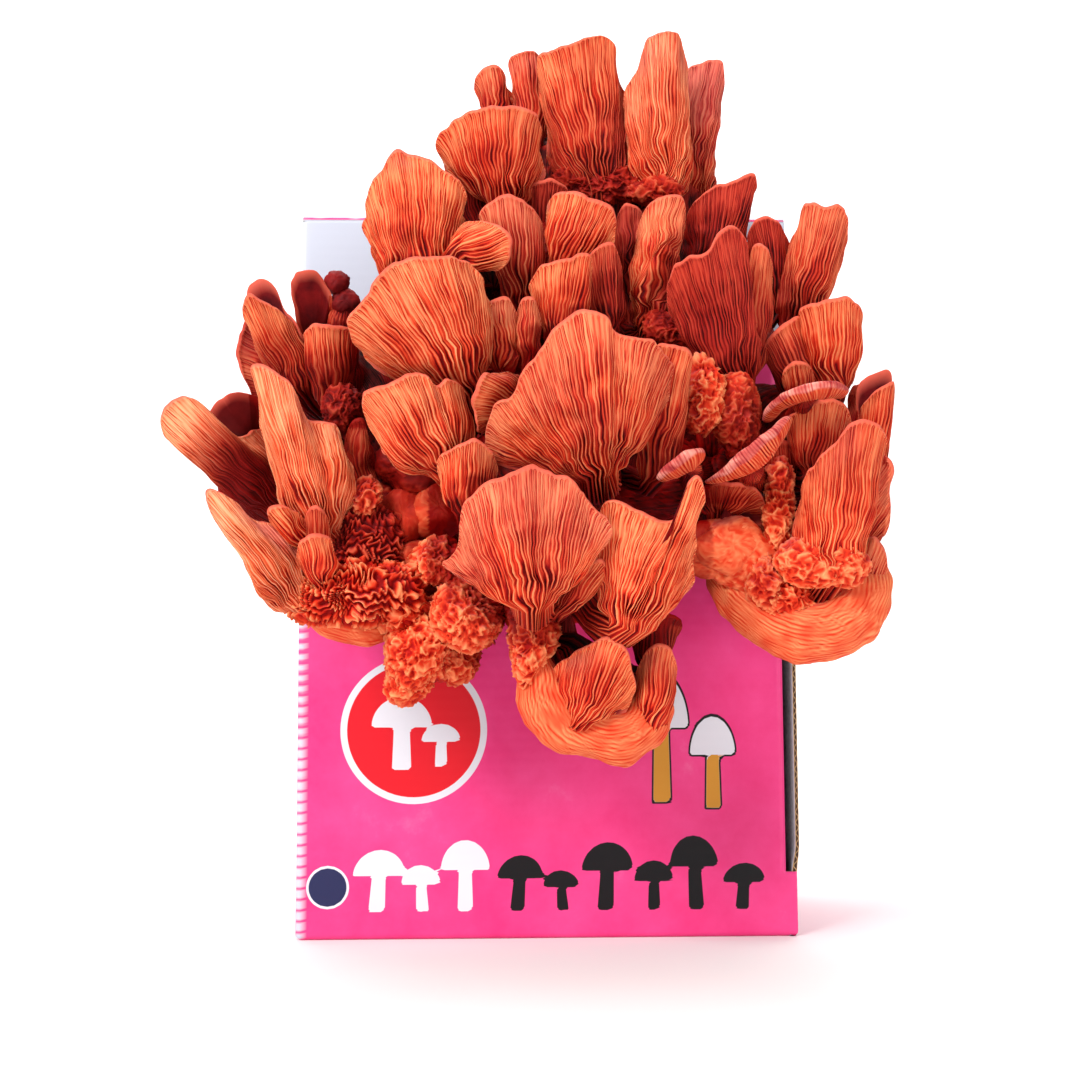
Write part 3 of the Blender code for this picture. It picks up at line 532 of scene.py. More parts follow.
def cap_rings(shape, rim, turns):
    """How far out each ring is and its points: out to the rim, over its edge and back down into the
    funnel. All lie on one skin, hub + rho rim, which swells between its ends and is ruffled towards
    the rim; the gilled side stands off it by the throat and a bead, the upper side by a wall."""
    length, throat = shape.length, shape.throat
    outward, ruffle = shape.outward(turns), shape.ruffle(rim)

    def skin(rho):
        swell = 0.06 * length * 4 * rho * (1.0 - rho)
        return shape.hub + rho * rim + (swell + ruffle * rho ** 2.5) * outward

    even = np.linspace(0.0, 1.0 - 3.2 * MM / length, max(9, int(length / ROW_STEP) - 2))
    rho = np.concatenate([even, 1.0 - RIM_ROWS / length])[:, None, None]
    bead = 0.4 * MM * np.exp(-(((1.0 - rho) * length - BEAD) / BEAD) ** 2)
    under = skin(rho) + (throat * (1.0 - rho) ** 1.4 + bead) * outward

    sigma = (np.linspace(1.0, 0.0, max(6, int(length / SPARSE_STEP)) + 1)[1:] ** 0.9)[:, None, None]
    floor = shape.axis * (0.9 * throat + 2.0 * MM) * (1.0 - sigma) ** 1.3
    wall = RIM_THICKNESS + (FUNNEL_WALL - RIM_THICKNESS) * (1.0 - sigma)
    over = skin(sigma) + floor - outward * wall * smooth(0.0, 0.3, sigma)
    edge = [skin(1.0) - outward * RIM_THICKNESS * k + unit(rim) * RIM_THICKNESS * 0.45 for k in (0.25, 0.75)]
    out = np.concatenate([rho[:, 0, 0], np.ones(len(edge)), sigma[:, 0, 0]])
    return out, np.concatenate([under, edge, over]), len(rho)


# %% Gills
# one gill in how many starts where: 0 is the hub, 1 the rim and -1 the stem's foot
GILL_STARTS = ((4, -1.6), (2, -0.1), (1, 0.16))


def gill_height(columns, gills, girth, out, seed):
    """Crest 1, valley 0. Every fourth gill starts at the stem, every second a little way out, the
    rest further out, each at a random place and with a random height. Each is a raised cosine,
    narrowed so that it stays as wide in millimetres wherever it is: (0.5 + 0.5 cos)^k with k from
    the local spacing. One column in three is a valley, the two beside it lie on the crest."""
    gill = columns / COLUMNS_PER_GILL + 0.5
    nearest = np.round(gill).astype(int) % gills
    chance = LATTICE[nearest % LATTICE_SIZE, nearest // LATTICE_SIZE % LATTICE_SIZE, seed % LATTICE_SIZE]
    height = 0.0
    for every, start in GILL_STARTS:
        local = girth / gills * every
        power = np.clip((local / GILL_SPACING) ** 1.5, 0.8, 7.0)
        crest = (0.5 + 0.5 * np.cos(2 * np.pi * gill / every)) ** power
        begin = start + 0.14 * chance
        height = np.maximum(height, crest * smooth(begin, begin + 0.22, out))
    return height * (0.82 + 0.18 * chance)


# %% A whole mushroom
GILL_DEPTH = 1.6 * MM
FOLDS, STREAKS = 1.3 * MM, 0.12 * MM       # relief across the gills, and on the upper side
# millimetres of sway and of crinkle: on an open cap, more at its stem, more where it is frilly
SWAY, CRINKLE = (0.45, 1.5, 2.2), (0.14, 0.9, 1.6)


def mushroom(cap, root, seed):
    """Rows of points from the stem's foot to the middle of the upper side, and their marks."""
    shape = Outline(cap, seed)
    rim, turns, gills = shape.columns()
    stem_out, stem = stem_rings(shape, root, turns)
    cap_out, rings, gilled_rings = cap_rings(shape, rim, turns)
    grid = np.concatenate([stem, rings])
    rows, columns = grid.shape[:2]
    out = np.concatenate([stem_out, cap_out])[:, None]      # -1 at the root, 0 at the hub, 1 at the rim
    inside_rim = (1.0 - out) * shape.length
    gilled = (np.arange(rows)[:, None] < len(stem) + gilled_rings) * 1.0
    girth = np.linalg.norm(np.roll(grid, -1, 1) - grid, axis=-1).sum(1)[:, None]
    number = np.arange(columns)[None, :]
    height = gill_height(number, gills, girth, out, seed)

    # gills wander and crinkle, more so towards the stem; then the crests stand out from the valleys
    facing = normals(grid)
    tangent = unit(np.roll(grid, -1, 1) - np.roll(grid, 1, 1))
    near_stem = smooth(0.85, 0.0, out)
    sway, crinkle = ((plain + more * near_stem + frilly * cap.frill) * MM * gilled
                     for plain, more, frilly in (SWAY, CRINKLE))
    wander = cloud(grid, 6.5 * MM, seed + 5) + 0.5 * cloud(grid, 2.6 * MM, seed + 10)
    grid = grid + tangent * (sway * smooth(1.0, 0.75, out) * wander)[..., None]
    folds = FOLDS * gilled * smooth(1.0, 0.5, out) * smooth(-0.4, 0.3, out)
    grid = grid + facing * (folds * cloud(grid, 9 * MM, seed + 12))[..., None]
    grid = grid + facing * (crinkle * smooth(1.0, 0.8, out) * cloud(grid, 3.2 * MM, seed + 6))[..., None]
    slit = 0.75 + 0.95 * np.clip(cloud(grid, 5.0 * MM, seed + 7), -0.4, 1.0)
    slit = slit + 0.4 * cloud(grid, 1.8 * MM, seed + 11)
    depth = GILL_DEPTH * (1.0 + 0.5 * cap.frill) * slit
    depth = depth * (0.10 + 0.90 * smooth(0.95, 0.5, out)) * (0.5 + 0.5 * smooth(-0.6, 0.2, out)) * gilled
    depth = np.minimum(depth, 0.16 * shape.half_width) * smooth(0.4 * MM, 1.8 * MM, inside_rim)
    grid = grid + facing * (depth * (height - 0.5))[..., None]
    streaks = STREAKS * (1.0 - gilled) * cloud(grid, 1.6 * MM, seed + 8)
    grid = grid + facing * streaks[..., None]

    full = np.ones_like(height)
    patches = cloud(grid, 20 * MM, seed + 9) + 0.5 * cloud(grid, 8 * MM, seed + 13)
    # painted shade: red in the funnel towards the stem, as strong as the cap's funnel setting asks
    hollow = cap.hollow * smooth(0.85, 0.35, out + 0.15 * patches) * gilled
    # painted shade: deeper slits darken the valleys more, less so near the rim
    contrast = np.clip(0.62 + 0.85 * slit, 0.35, 1.4) * (1.0 - 0.65 * smooth(0.5, 0.9, out))
    wide_apart = np.clip(girth / gills / GILL_SPACING, 0.0, 1.0)
    # painted sky light: what faces up turns mauve, with random patches and the cap's own bloom
    skyward = 0.8 * facing[..., 2] + 0.7 * patches + 0.4 * smooth(0.3, 0.9, out)
    bloom = cap.mauve * smooth(0.2, 0.8, out + 0.4 * patches)
    return grid, {
        "ridge": np.clip(1.0 - (1.0 - height) ** 1.3 * contrast, 0.0, 1.0),
        "gill": number / COLUMNS_PER_GILL + 40.0 * (seed % 100) * full,
        "out": out * shape.length / (10 * MM) * full,
        "comb": wide_apart * gilled * smooth(0.3 * MM, 1.0 * MM, inside_rim) * full,
        "upper": (1.0 - gilled) * full,
        "rim": 0.8 * np.exp(-(inside_rim / (0.6 * MM)) ** 2) * full,
        # painted shade: redder towards the stem and in the funnel; depth in the cluster is added later
        "inward": np.maximum(smooth(0.4 + 0.2 * patches, -0.7, out) * gilled, hollow),
        "deep": 0.8 * hollow,
        "mauve": np.clip(smooth(0.35, 1.35, skyward) + bloom, 0.0, 1.0),
        "pale": 0.0 * full,
        "peach": max(0.0, -cap.dark) * smooth(-0.9, 0.4, patches + out),
        # painted shade: the cap's darkness, in random patches
        "dark": np.clip(cap.dark + 0.4 * patches, 0.0, 1.0),
    }


print(f"gills {GILL_DEPTH / MM:.1f} mm deep, or more where a cap is frilly")

# %% [markdown]
# ## The cluster
# The same caps, limb by limb, as in the solids. Each row holds the points of the cap's rim as they
# are seen, the hub where its gills meet, how far its lip reaches out in front and how far its sides
# curl back, in millimetres. `back` gives a rim its own points behind the hub. The rest is colour and
# texture: `dark` is painted shade, deeper as it grows, or paler and peach below 0, `mauve` has a
# bloom, the next setting paints shade red into the funnel, and `frill` has gills that crinkle. They
# are judged like the points.

# %% Branches, limbs and caps
Limb = namedtuple("Limb", "fork thickness caps")
Branch = namedtuple("Branch", "shoulder thickness limbs")

BRANCHES = {}

# %% The middle branch
BRANCHES["middle_branch"] = Branch((552, 514, 46), 16, (
    Limb((600, 466, 46), 14, [
        Cap(((535, 474), (514, 467), (499, 455), (489, 438), (488, 415), (497, 402), (514, 397),
             (518, 382), (526, 371), (542, 354), (558, 334), (575, 320), (594, 315), (607, 318),
             (618, 332), (636, 340), (655, 355), (671, 366), (672, 385), (664, 405), (650, 430),
             (628, 452)), (596, 474, 74), 102, 12, dark=0.3, mauve=0.2),
        Cap(((494, 442), (478, 422), (475, 400), (480, 382), (490, 372), (503, 368), (516, 372),
             (524, 378)), (514, 404, 74), 88, 10, dark=0.1),
        Cap(((652, 380), (655, 352), (662, 343), (676, 345), (692, 351), (693, 372), (690, 400),
             (684, 424)), (654, 480, 64), 84, 8, dark=0.45),
    ]),
    Limb((480, 436, 42), 13, [
        Cap(((385, 374), (364, 357), (357, 330), (360, 305), (371, 286), (385, 272), (402, 262),
             (425, 259), (450, 259), (470, 267), (483, 283), (488, 305), (485, 330), (478, 356)),
            (468, 388, 62), 86, 10, dark=-0.1),
        Cap(((404, 449), (382, 453), (367, 440), (360, 415), (362, 396), (375, 386), (395, 380),
             (412, 374), (428, 375), (438, 388), (447, 380), (462, 383), (475, 397), (471, 420),
             (460, 440)), (448, 472, 66), 84, 7, dark=-0.1),
        Cap(((488, 340), (487, 318), (489, 303), (500, 298), (510, 301), (516, 314), (514, 335)),
            (504, 378, 56), 68, 5, mauve=0.3, frill=0.4),
        Cap(((516, 335), (518, 312), (524, 300), (534, 300), (540, 312), (540, 335)),
            (526, 376, 56), 66, 5, mauve=0.2, frill=0.4),
        Cap(((441, 478), (443, 458), (458, 446), (478, 440), (491, 448), (498, 464), (495, 482)),
            (470, 512, 70), 84, 7, dark=0.0),
    ]),
    Limb((552, 568, 52), 13, [
        Cap(((492, 582), (466, 575), (442, 563), (455, 556), (455, 532), (460, 508), (470, 494),
             (485, 486), (498, 480), (512, 470), (530, 467), (546, 471), (558, 478), (573, 479),
             (583, 490), (596, 505), (607, 518), (609, 530), (600, 548), (580, 556), (562, 572),
             (550, 586)), (530, 602, 82), 108, 10, dark=0.2, mauve=0.35),
        Cap(((600, 580), (600, 550), (603, 525), (609, 507), (624, 503), (638, 512), (652, 517),
             (667, 525), (680, 518), (686, 500), (687, 480), (694, 474), (699, 488), (695, 515),
             (690, 545), (682, 580), (668, 604)), (630, 622, 76), 98, 9, dark=-0.1),
        Cap(((545, 601), (551, 592), (566, 584), (583, 572), (598, 560), (606, 566), (602, 585),
             (586, 598)), (560, 610, 72), 84, 4, dark=0.4),
    ]),
    Limb((534, 628, 50), 10, [
        Cap(((556, 700), (556, 672), (572, 656), (588, 645), (603, 639), (618, 645), (629, 660),
             (633, 682), (626, 706), (612, 722)), (578, 722, 62), 76, 9, dark=0.05, frill=0.1),
        Cap(((638, 700), (638, 674), (645, 656), (656, 647), (669, 653), (676, 668), (674, 692),
             (667, 716)), (648, 738, 58), 68, 7, dark=0.25, frill=0.1),
        Cap(((548, 650), (549, 630), (556, 612), (567, 610), (574, 625), (576, 650)),
            (562, 676, 46), 50, 5, dark=0.7),
        Cap(((632, 640), (630, 622), (648, 618), (666, 616), (678, 620), (672, 638)),
            (650, 668, 46), 54, 5, dark=0.7),
    ]),
))
print(sum(len(limb.caps) for limb in BRANCHES["middle_branch"].limbs), "caps on the middle branch")

# %% The crown branch
BRANCHES["crown_branch"] = Branch((576, 322, 28), 14, (
    Limb((606, 262, 20), 12, [
        Cap(((546, 160), (541, 122), (540, 90), (540, 58), (560, 48), (585, 40), (602, 35), (617, 50),
             (624, 80), (630, 108), (630, 135), (638, 165)), (600, 192, 24), 40, 9, dark=0.45),
        Cap(((648, 180), (636, 150), (629, 118), (630, 88), (640, 62), (651, 40), (662, 28), (680, 26),
             (687, 45), (690, 75), (689, 110), (686, 150), (680, 182)),
            (664, 200, 28), 46, 9, dark=-0.25, mauve=0.15),
        Cap(((686, 150), (688, 110), (686, 75), (692, 63), (708, 61), (724, 62), (725, 78), (722, 100),
             (713, 130), (706, 160), (702, 188)),
            (692, 212, 18), 28, 6, dark=0.2, mauve=0.9, frill=0.3),
        Cap(((482, 104), (479, 82), (486, 70), (498, 66), (506, 72), (508, 85), (518, 100)),
            (503, 126, 20), 28, 4, dark=0.2, mauve=0.2, frill=0.3),
        Cap(((520, 108), (517, 82), (512, 62), (524, 50), (536, 48), (543, 58), (546, 85), (548, 110)),
            (537, 142, 20), 30, 5, dark=0.15, mauve=0.2),
        Cap(((462, 178), (455, 158), (446, 134), (462, 117), (480, 109), (503, 105), (525, 108),
             (541, 119), (550, 132), (549, 152), (546, 172), (532, 188)),
            (504, 206, 36), 54, 8, dark=0.1),
        Cap(((552, 160), (562, 140), (585, 132), (612, 140), (640, 165)),
            (600, 206, 16), 22, 5, dark=0.6, frill=0.6),
    ]),
    Limb((498, 304, 30), 11, [
        Cap(((392, 288), (379, 264), (371, 240), (368, 212), (368, 188), (381, 170), (396, 151),
             (414, 153), (430, 156), (446, 168), (460, 182), (468, 196), (470, 214), (480, 228),
             (470, 250)), (418, 288, 42), 60, 9, dark=0.0),
        Cap(((455, 240), (463, 227), (482, 221), (500, 226), (512, 240), (511, 256), (500, 269),
             (482, 264)), (456, 258, 54), 66, 4, dark=0.1),
        Cap(((498, 240), (484, 212), (497, 200), (510, 197), (524, 203), (538, 214), (545, 235),
             (547, 262)), (526, 304, 44), 60, 8, dark=0.2, mauve=0.35),
        Cap(((462, 200), (452, 178), (462, 170), (474, 174), (484, 183), (498, 188), (504, 202)),
            (486, 232, 24), 36, 4, dark=0.9, mauve=0.2),
        Cap(((524, 206), (524, 190), (538, 182), (554, 180), (564, 190), (562, 212)),
            (546, 244, 28), 42, 5, dark=0.9, mauve=0.2),
    ]),
    Limb((612, 334, 34), 12, [
        Cap(((554, 240), (552, 215), (553, 195), (566, 194), (584, 199), (602, 205), (615, 214),
             (620, 226), (612, 241), (596, 253)), (561, 272, 48), 64, 5, dark=0.0),
        Cap(((536, 310), (534, 284), (540, 268), (552, 262), (570, 261), (593, 257), (594, 280),
             (595, 312)), (562, 346, 54), 68, 6, dark=0.05),
        Cap(((592, 285), (590, 258), (602, 248), (616, 246), (620, 262), (622, 290)),
            (612, 328, 50), 62, 5, dark=0.6),
        Cap(((619, 262), (618, 228), (627, 206), (640, 210), (648, 232), (650, 262)),
            (634, 326, 36), 46, 6, dark=0.8, mauve=0.6, frill=1.0),
        Cap(((646, 268), (640, 230), (645, 212), (655, 202), (670, 197), (684, 199), (687, 222),
             (683, 245), (670, 275)), (646, 330, 44), 58, 7, dark=0.3, mauve=0.2, frill=0.8),
    ]),
))
print(sum(len(limb.caps) for limb in BRANCHES["crown_branch"].limbs), "caps on the crown branch")

# %% The left branch
BRANCHES["left_branch"] = Branch((402, 490, 32), 14, (
    Limb((354, 424, 24), 11, [
        Cap(((256, 350), (252, 320), (249, 292), (262, 300), (277, 306), (291, 320), (301, 334),
             (318, 350)),
            (306, 392, 42), 64, 12, back=((303, 332), (284, 305), (277, 288), (266, 279), (253, 286)),
            hollow=0.3),
        Cap(((268, 410), (248, 384), (238, 350), (243, 330), (254, 312)),
            (292, 380, 34), 44, 6, dark=0.15, mauve=0.3),
        Cap(((330, 302), (324, 282), (314, 270), (299, 270), (292, 280), (296, 304), (303, 330)),
            (322, 350, 34), 46, 2, dark=0.9, hollow=0.6),
        Cap(((304, 350), (303, 334), (318, 324), (334, 327), (350, 329), (356, 345)),
            (332, 400, 46), 60, 5, dark=0.3, hollow=0.6),
    ]),
    Limb((360, 526, 40), 12, [
        Cap(((296, 508), (281, 480), (268, 446), (262, 412), (255, 384), (250, 367), (266, 369),
             (280, 376), (294, 388), (304, 404), (316, 420), (338, 425), (346, 445), (353, 470),
             (350, 495), (338, 514)), (320, 528, 58), 84, 9, dark=-0.4),
        Cap(((225, 490), (204, 468), (178, 448), (154, 424), (168, 404), (186, 396), (200, 402),
             (211, 415), (222, 434), (240, 440), (262, 432), (276, 450)),
            (292, 516, 48), 72, 9, dark=-0.5, hollow=1.0),
        Cap(((266, 416), (256, 402), (240, 396), (222, 399), (211, 414), (218, 434), (240, 444),
             (266, 438)), (262, 452, 44), 58, 4, dark=1.0, mauve=0.4, hollow=0.6),
        Cap(((272, 598), (254, 578), (240, 558), (222, 530), (210, 506), (208, 488), (224, 494),
             (240, 505), (252, 520), (270, 523), (284, 533), (297, 552)),
            (300, 604, 60), 80, 7, dark=-0.9, hollow=0.2),
        Cap(((224, 492), (244, 470), (278, 466), (300, 500), (292, 530)),
            (262, 524, 36), 42, 5, dark=1.0, hollow=1.0),
    ]),
    Limb((414, 562, 38), 14, [
        Cap(((284, 532), (272, 520), (269, 506), (282, 504), (296, 511), (306, 522)),
            (304, 546, 62), 74, 4, dark=0.0),
        Cap(((306, 530), (307, 512), (318, 505), (327, 514), (330, 530)),
            (320, 560, 60), 70, 4, dark=0.6),
        Cap(((298, 562), (300, 542), (313, 533), (329, 537), (331, 556)),
            (322, 586, 62), 76, 4, dark=0.1),
        Cap(((345, 440), (350, 424), (362, 420), (370, 440), (374, 470)),
            (366, 508, 44), 54, 4, dark=0.5, frill=0.8),
    ]),
))
print(sum(len(limb.caps) for limb in BRANCHES["left_branch"].limbs), "caps on the left branch")

# %% The right branch
BRANCHES["right_branch"] = Branch((714, 466, 36), 15, (
    Limb((714, 364, 32), 11, [
        Cap(((686, 236), (692, 212), (704, 196), (718, 187), (732, 184), (745, 177), (752, 176),
             (750, 202), (746, 230)), (716, 268, 32), 46, 6, dark=1.0),
        Cap(((704, 350), (684, 320), (670, 290), (677, 266), (692, 257), (707, 252), (718, 238),
             (728, 230), (740, 230), (749, 242), (749, 268), (747, 300), (744, 340)),
            (735, 388, 52), 76, 9, dark=1.1, mauve=0.1),
        Cap(((748, 300), (751, 268), (753, 250), (761, 246), (769, 250), (776, 264), (775, 284),
             (768, 310)), (748, 376, 50), 62, 5, dark=0.6),
        Cap(((750, 256), (750, 234), (757, 221), (767, 217), (777, 221), (785, 235), (790, 256)),
            (776, 302, 34), 44, 5, dark=0.85, mauve=0.2),
    ]),
    Limb((792, 400, 34), 11, [
        Cap(((782, 290), (786, 262), (792, 240), (798, 228), (803, 210), (813, 204), (828, 209),
             (840, 204), (847, 215), (844, 242), (838, 268), (826, 294)),
            (794, 330, 32), 50, 7, dark=0.45, mauve=0.15),
        Cap(((816, 356), (801, 332), (801, 314), (814, 304), (832, 300), (850, 301), (862, 311),
             (860, 335), (854, 362)), (836, 388, 48), 64, 7, dark=0.2),
        Cap(((780, 378), (765, 362), (763, 347), (776, 333), (788, 323), (802, 322), (806, 345)),
            (800, 392, 46), 58, 5, dark=0.6),
        Cap(((788, 392), (785, 374), (796, 364), (809, 368), (814, 384)),
            (800, 402, 54), 64, 3, dark=0.6),
        Cap(((862, 440), (862, 416), (872, 400), (882, 390), (897, 384), (896, 410), (892, 440)),
            (868, 478, 48), 62, 9, back=((898, 380), (892, 373), (878, 375), (862, 384)), dark=0.4),
        Cap(((845, 480), (850, 440), (855, 385), (866, 384), (874, 400)),
            (858, 520, 40), 46, 5, dark=0.6, mauve=0.3),
    ]),
    Limb((750, 484, 42), 12, [
        Cap(((792, 450), (788, 430), (797, 412), (815, 404), (836, 402), (850, 410), (850, 432),
             (840, 450)), (814, 476, 60), 76, 7, dark=0.3),
        Cap(((770, 470), (764, 455), (772, 444), (786, 442), (796, 452), (796, 474)),
            (782, 500, 54), 64, 4, dark=0.7),
    ]),
    Limb((756, 562, 42), 15, [
        Cap(((824, 560), (803, 540), (790, 512), (797, 497), (806, 478), (820, 458), (838, 443),
             (852, 428), (866, 421), (880, 428), (887, 444), (880, 474), (868, 505), (856, 545)),
            (828, 584, 66), 90, 9, dark=0.35),
        Cap(((700, 533), (694, 515), (694, 498), (704, 488), (727, 484), (754, 490), (767, 505),
             (764, 522)), (720, 515, 56), 68, 4, back=((743, 533), (717, 539)), dark=0.5),
        Cap(((870, 480), (880, 458), (893, 468), (890, 490), (892, 512), (884, 535), (866, 546)),
            (846, 560, 52), 62, 6, dark=0.35, mauve=0.3),
        Cap(((850, 570), (858, 548), (872, 540), (885, 552), (885, 585), (874, 615)),
            (846, 640, 56), 66, 7, dark=0.2, mauve=0.2),
    ]),
))
print(sum(len(limb.caps) for limb in BRANCHES["right_branch"].limbs), "caps on the right branch")

# %% [markdown]
# ## Trunks, limbs and frills
# Below the caps the growth is smooth, paler flesh, ribbed lengthways where gills run down onto it.
# Where caps never opened, their gills crowd into frilly lumps with no stem of their own. Three margins
# on the right are seen edge on: each is a narrow blade with the gills across it, under a pale wrinkled
# upper side. All of these are tubes and balls, so they stay closed however deep the relief is.

# %% Tubes
def blank_marks(grid):
    """Every mark of the flesh, at 0 in each point of a grid."""
    return {name: np.zeros(grid.shape[:2]) for name in FLESH_MARKS}


def tube(places, radii, columns, row_step, flatness):
    """Rings along a path through `places`, rounded by a moving mean. Their radius follows `radii` and
    closes as sqrt(1 - u^2) at both ends. Returns the way along, the angle and the radius of each
    ring's points, their directions from the path, and the points."""
    corners = seen(places)
    travelled = walked(corners)
    rows = int((travelled[-1] + 2 * max(radii) * MM) / row_step)
    x = np.linspace(0.0, travelled[-1], rows)
    path = resampled(x, travelled, corners)
    reach = max(1, rows // 8)
    padded = np.concatenate([np.repeat(path[:1], reach, 0), path, np.repeat(path[-1:], reach, 0)])
    path = smoothed(padded, np.ones(2 * reach + 1) / (2 * reach + 1))
    heading = unit(np.gradient(path, axis=0))
    side = unit(np.cross(heading, UPWARD + 0.9 * AHEAD))
    ahead = np.cross(side, heading)
    radius = np.interp(x, travelled, np.array(radii) * MM)
    near_end = np.minimum(x, travelled[-1] - x)
    radius = radius * np.sqrt(1.0 - (1.0 - np.clip(near_end / radius, 0.001, 1.0)) ** 2)
    a = np.linspace(0.0, 2 * np.pi, columns, endpoint=False)
    ring = flatness * ahead[:, None] * np.cos(a)[None, :, None] + side[:, None] * np.sin(a)[None, :, None]
    return x[:, None], a[None], radius[:, None], ring, path[:, None] + ring * radius[:, None, None]


# %% Trunks, limbs and margins
RIB_SPACING, CROSS_RIB_SPACING = 1.4, 0.9      # mm: lengthways on a tube, and across a margin
BLADE = 0.55                                   # a margin's thickness, of its width


def stalk(places, radii, seed, rib=0.8, dark=0.2, step=0.6, margin=False):
    """A tube with ribs lengthways: a cosine of the angle, swayed by noise, and higher or lower by
    noise. A margin is a blade with its ribs across the path, and wrinkles over its upper half."""
    ribs = round(2 * np.pi * max(radii) / RIB_SPACING)
    columns = max(24, round(ribs * RIB_SPACING / step))
    row_step = (0.6 if margin else 2) * step * MM
    x, a, radius, ring, grid = tube(places, radii, columns, row_step, BLADE if margin else 1.0)
    swell = min(2.2, 0.3 * max(radii)) * MM
    lumps = cloud(grid, 10 * MM, seed) + 0.4 * cloud(grid, 5 * MM, seed + 3)
    grid = grid + ring * (swell * lumps)[..., None]
    above = smooth(-0.15, 0.15, ring @ unit(UPWARD - 0.5 * SIDEWAYS) + 0.4 * cloud(grid, 5 * MM, seed + 5))
    if margin:
        count = x / (CROSS_RIB_SPACING * MM)
        crest = 0.72 + 0.28 * np.cos(2 * np.pi * (count + 0.7 * cloud(grid, 3 * MM, seed + 2)))
        wrinkles = 0.55 + 0.8 * cloud(grid * (0.45, 1.0, 1.0), 1.6 * MM, seed + 1)
        crest = crest * (1.0 - above) + np.clip(wrinkles, 0.0, 1.2) * above
    else:
        count = ribs * a / (2 * np.pi)
        sway = 1.1 * cloud(grid, 5 * MM, seed + 2) + 0.5 * cloud(grid, 2.4 * MM, seed + 4)
        crest = 0.5 + 0.5 * np.cos(ribs * a + 2 * np.pi * sway)
        crest = crest * np.clip(0.75 + 0.9 * cloud(grid, 3.5 * MM, seed + 1), 0.1, 1.2)
    grid = grid + ring * (rib * MM * crest * np.minimum(1.0, radius / (3 * MM)))[..., None]
    marks = blank_marks(grid)
    relief = 1.0 if margin else min(1.0, rib / 0.8)
    # painted shade: rib valleys darker, crests paler
    marks["ridge"] = np.clip(0.92 - (0.75 - 0.8 * crest) * relief, 0.0, 1.0)
    marks["gill"] += count
    marks["comb"] += 0.45 if margin else 0.75 * rib
    # a little painted shade all over
    marks["inward"] += 0.1
    # painted shade: the tube's darkness
    marks["dark"] += dark
    if margin:
        marks["mauve"] = marks["pale"] = above
    else:
        marks["out"] += x / (10 * MM)
        # painted sky light: what faces up turns mauve
        marks["mauve"] = smooth(0.4, 1.2, normals(grid)[..., 2])
    return grid, marks


# %% Frilly lumps
def frills(centre, radii, seed, dark=0.0, rows_apart=0.0, crimp=2.4, step=0.42):
    """A ball pushed out by crests. Fuzzy ones: 1 - |noise| is sharp where smooth noise crosses zero,
    and the noise is read at places shifted by finer noise, so that the crests meander. Ones in rows,
    `rows_apart` mm: cos^1.6 of the height in rows, which snakes by a sine of u / 2.3 mm along each
    row, now more and now less, and out of step."""
    size = np.array(radii) * MM
    columns = int(2 * np.pi * np.hypot(size[0], size[2]) / np.sqrt(2) / (step * MM))
    rows = int(0.38 * columns)
    s = (np.arange(rows)[:, None] + 0.5) / rows
    polar = np.interp(s, (0.0, 1 / 3, 1.0), (0.0, np.pi / 2, np.pi))     # two rows in three are in front
    a = np.linspace(0.0, 2 * np.pi, columns, endpoint=False)[None, :]
    ball = np.stack([np.sin(polar) * np.cos(a), np.cos(polar) + 0 * a, np.sin(polar) * np.sin(a)], -1)
    grid = seen(centre) + ball * size
    away = unit(ball / size)
    lumps = cloud(grid, 11 * MM, seed) + 0.5 * cloud(grid, 5 * MM, seed + 7)
    grid = grid + away * (min(3.5, 0.35 * min(radii)) * MM * lumps)[..., None]
    shift = np.stack([cloud(grid, 2.2 * MM, seed + k) for k in (1, 2, 3)], -1)
    if rows_apart:
        u, v = grid @ SIDEWAYS, grid @ UPWARD
        swing = 0.26 + 0.22 * cloud(grid, 4 * MM, seed + 3)
        snake = swing * np.sin(2 * np.pi * u / (2.3 * MM) + 8.0 * cloud(grid, 4 * MM, seed + 4))
        v = v / (rows_apart * MM) + snake + 1.3 * cloud(grid, 7 * MM, seed + 5) + 0.4 * shift[..., 0]
        crest = (0.5 + 0.5 * np.cos(2 * np.pi * v)) ** 1.6 * (0.8 + 0.6 * cloud(grid, 2.6 * MM, seed + 8))
    else:
        read = grid + 1.2 * MM * shift
        coarse = (1.0 - np.abs(cloud(read, 2.1 * MM, seed + 4)) * 1.7).clip(0.0) ** 1.5
        fine = (1.0 - np.abs(cloud(read, 1.2 * MM, seed + 5)) * 1.7).clip(0.0) ** 1.3
        crest = 0.55 * coarse + 0.45 * fine
    crest = np.clip(crest, 0.0, 1.0)
    grid = grid + away * (crimp * MM * (crest - 0.4))[..., None]
    patches = cloud(grid, 16 * MM, seed + 6) + 0.5 * cloud(grid, 7 * MM, seed + 9)
    # crests paler, valleys painted dark as shade
    valley = 0.1 if rows_apart else 0.22
    plain = 1.0 - min(1.0, crimp / 1.6)        # low crests are not drawn so deep
    ridge = np.clip(valley + 0.85 * crest * (1 - plain) + 0.5 * plain, 0.0, 1.0)
    marks = blank_marks(grid)
    # painted shade: darker lumps also get duller crests
    marks["ridge"] = ridge * (1.0 - 0.35 * dark)
    # painted sky light: what faces up turns mauve, in random patches
    marks["mauve"] = smooth(0.5, 1.3, normals(grid)[..., 2] + 0.6 * patches)
    # painted shade: the lump's darkness, in random patches
    marks["dark"] = np.clip(dark + 0.35 * patches, 0.0, 1.0)
    # painted shade: the darkest lumps take the dark upper side's colour all over
    if dark > 0.85:
        marks["upper"] += 0.8                  # the darkest lumps are velvet all over
    return grid, marks
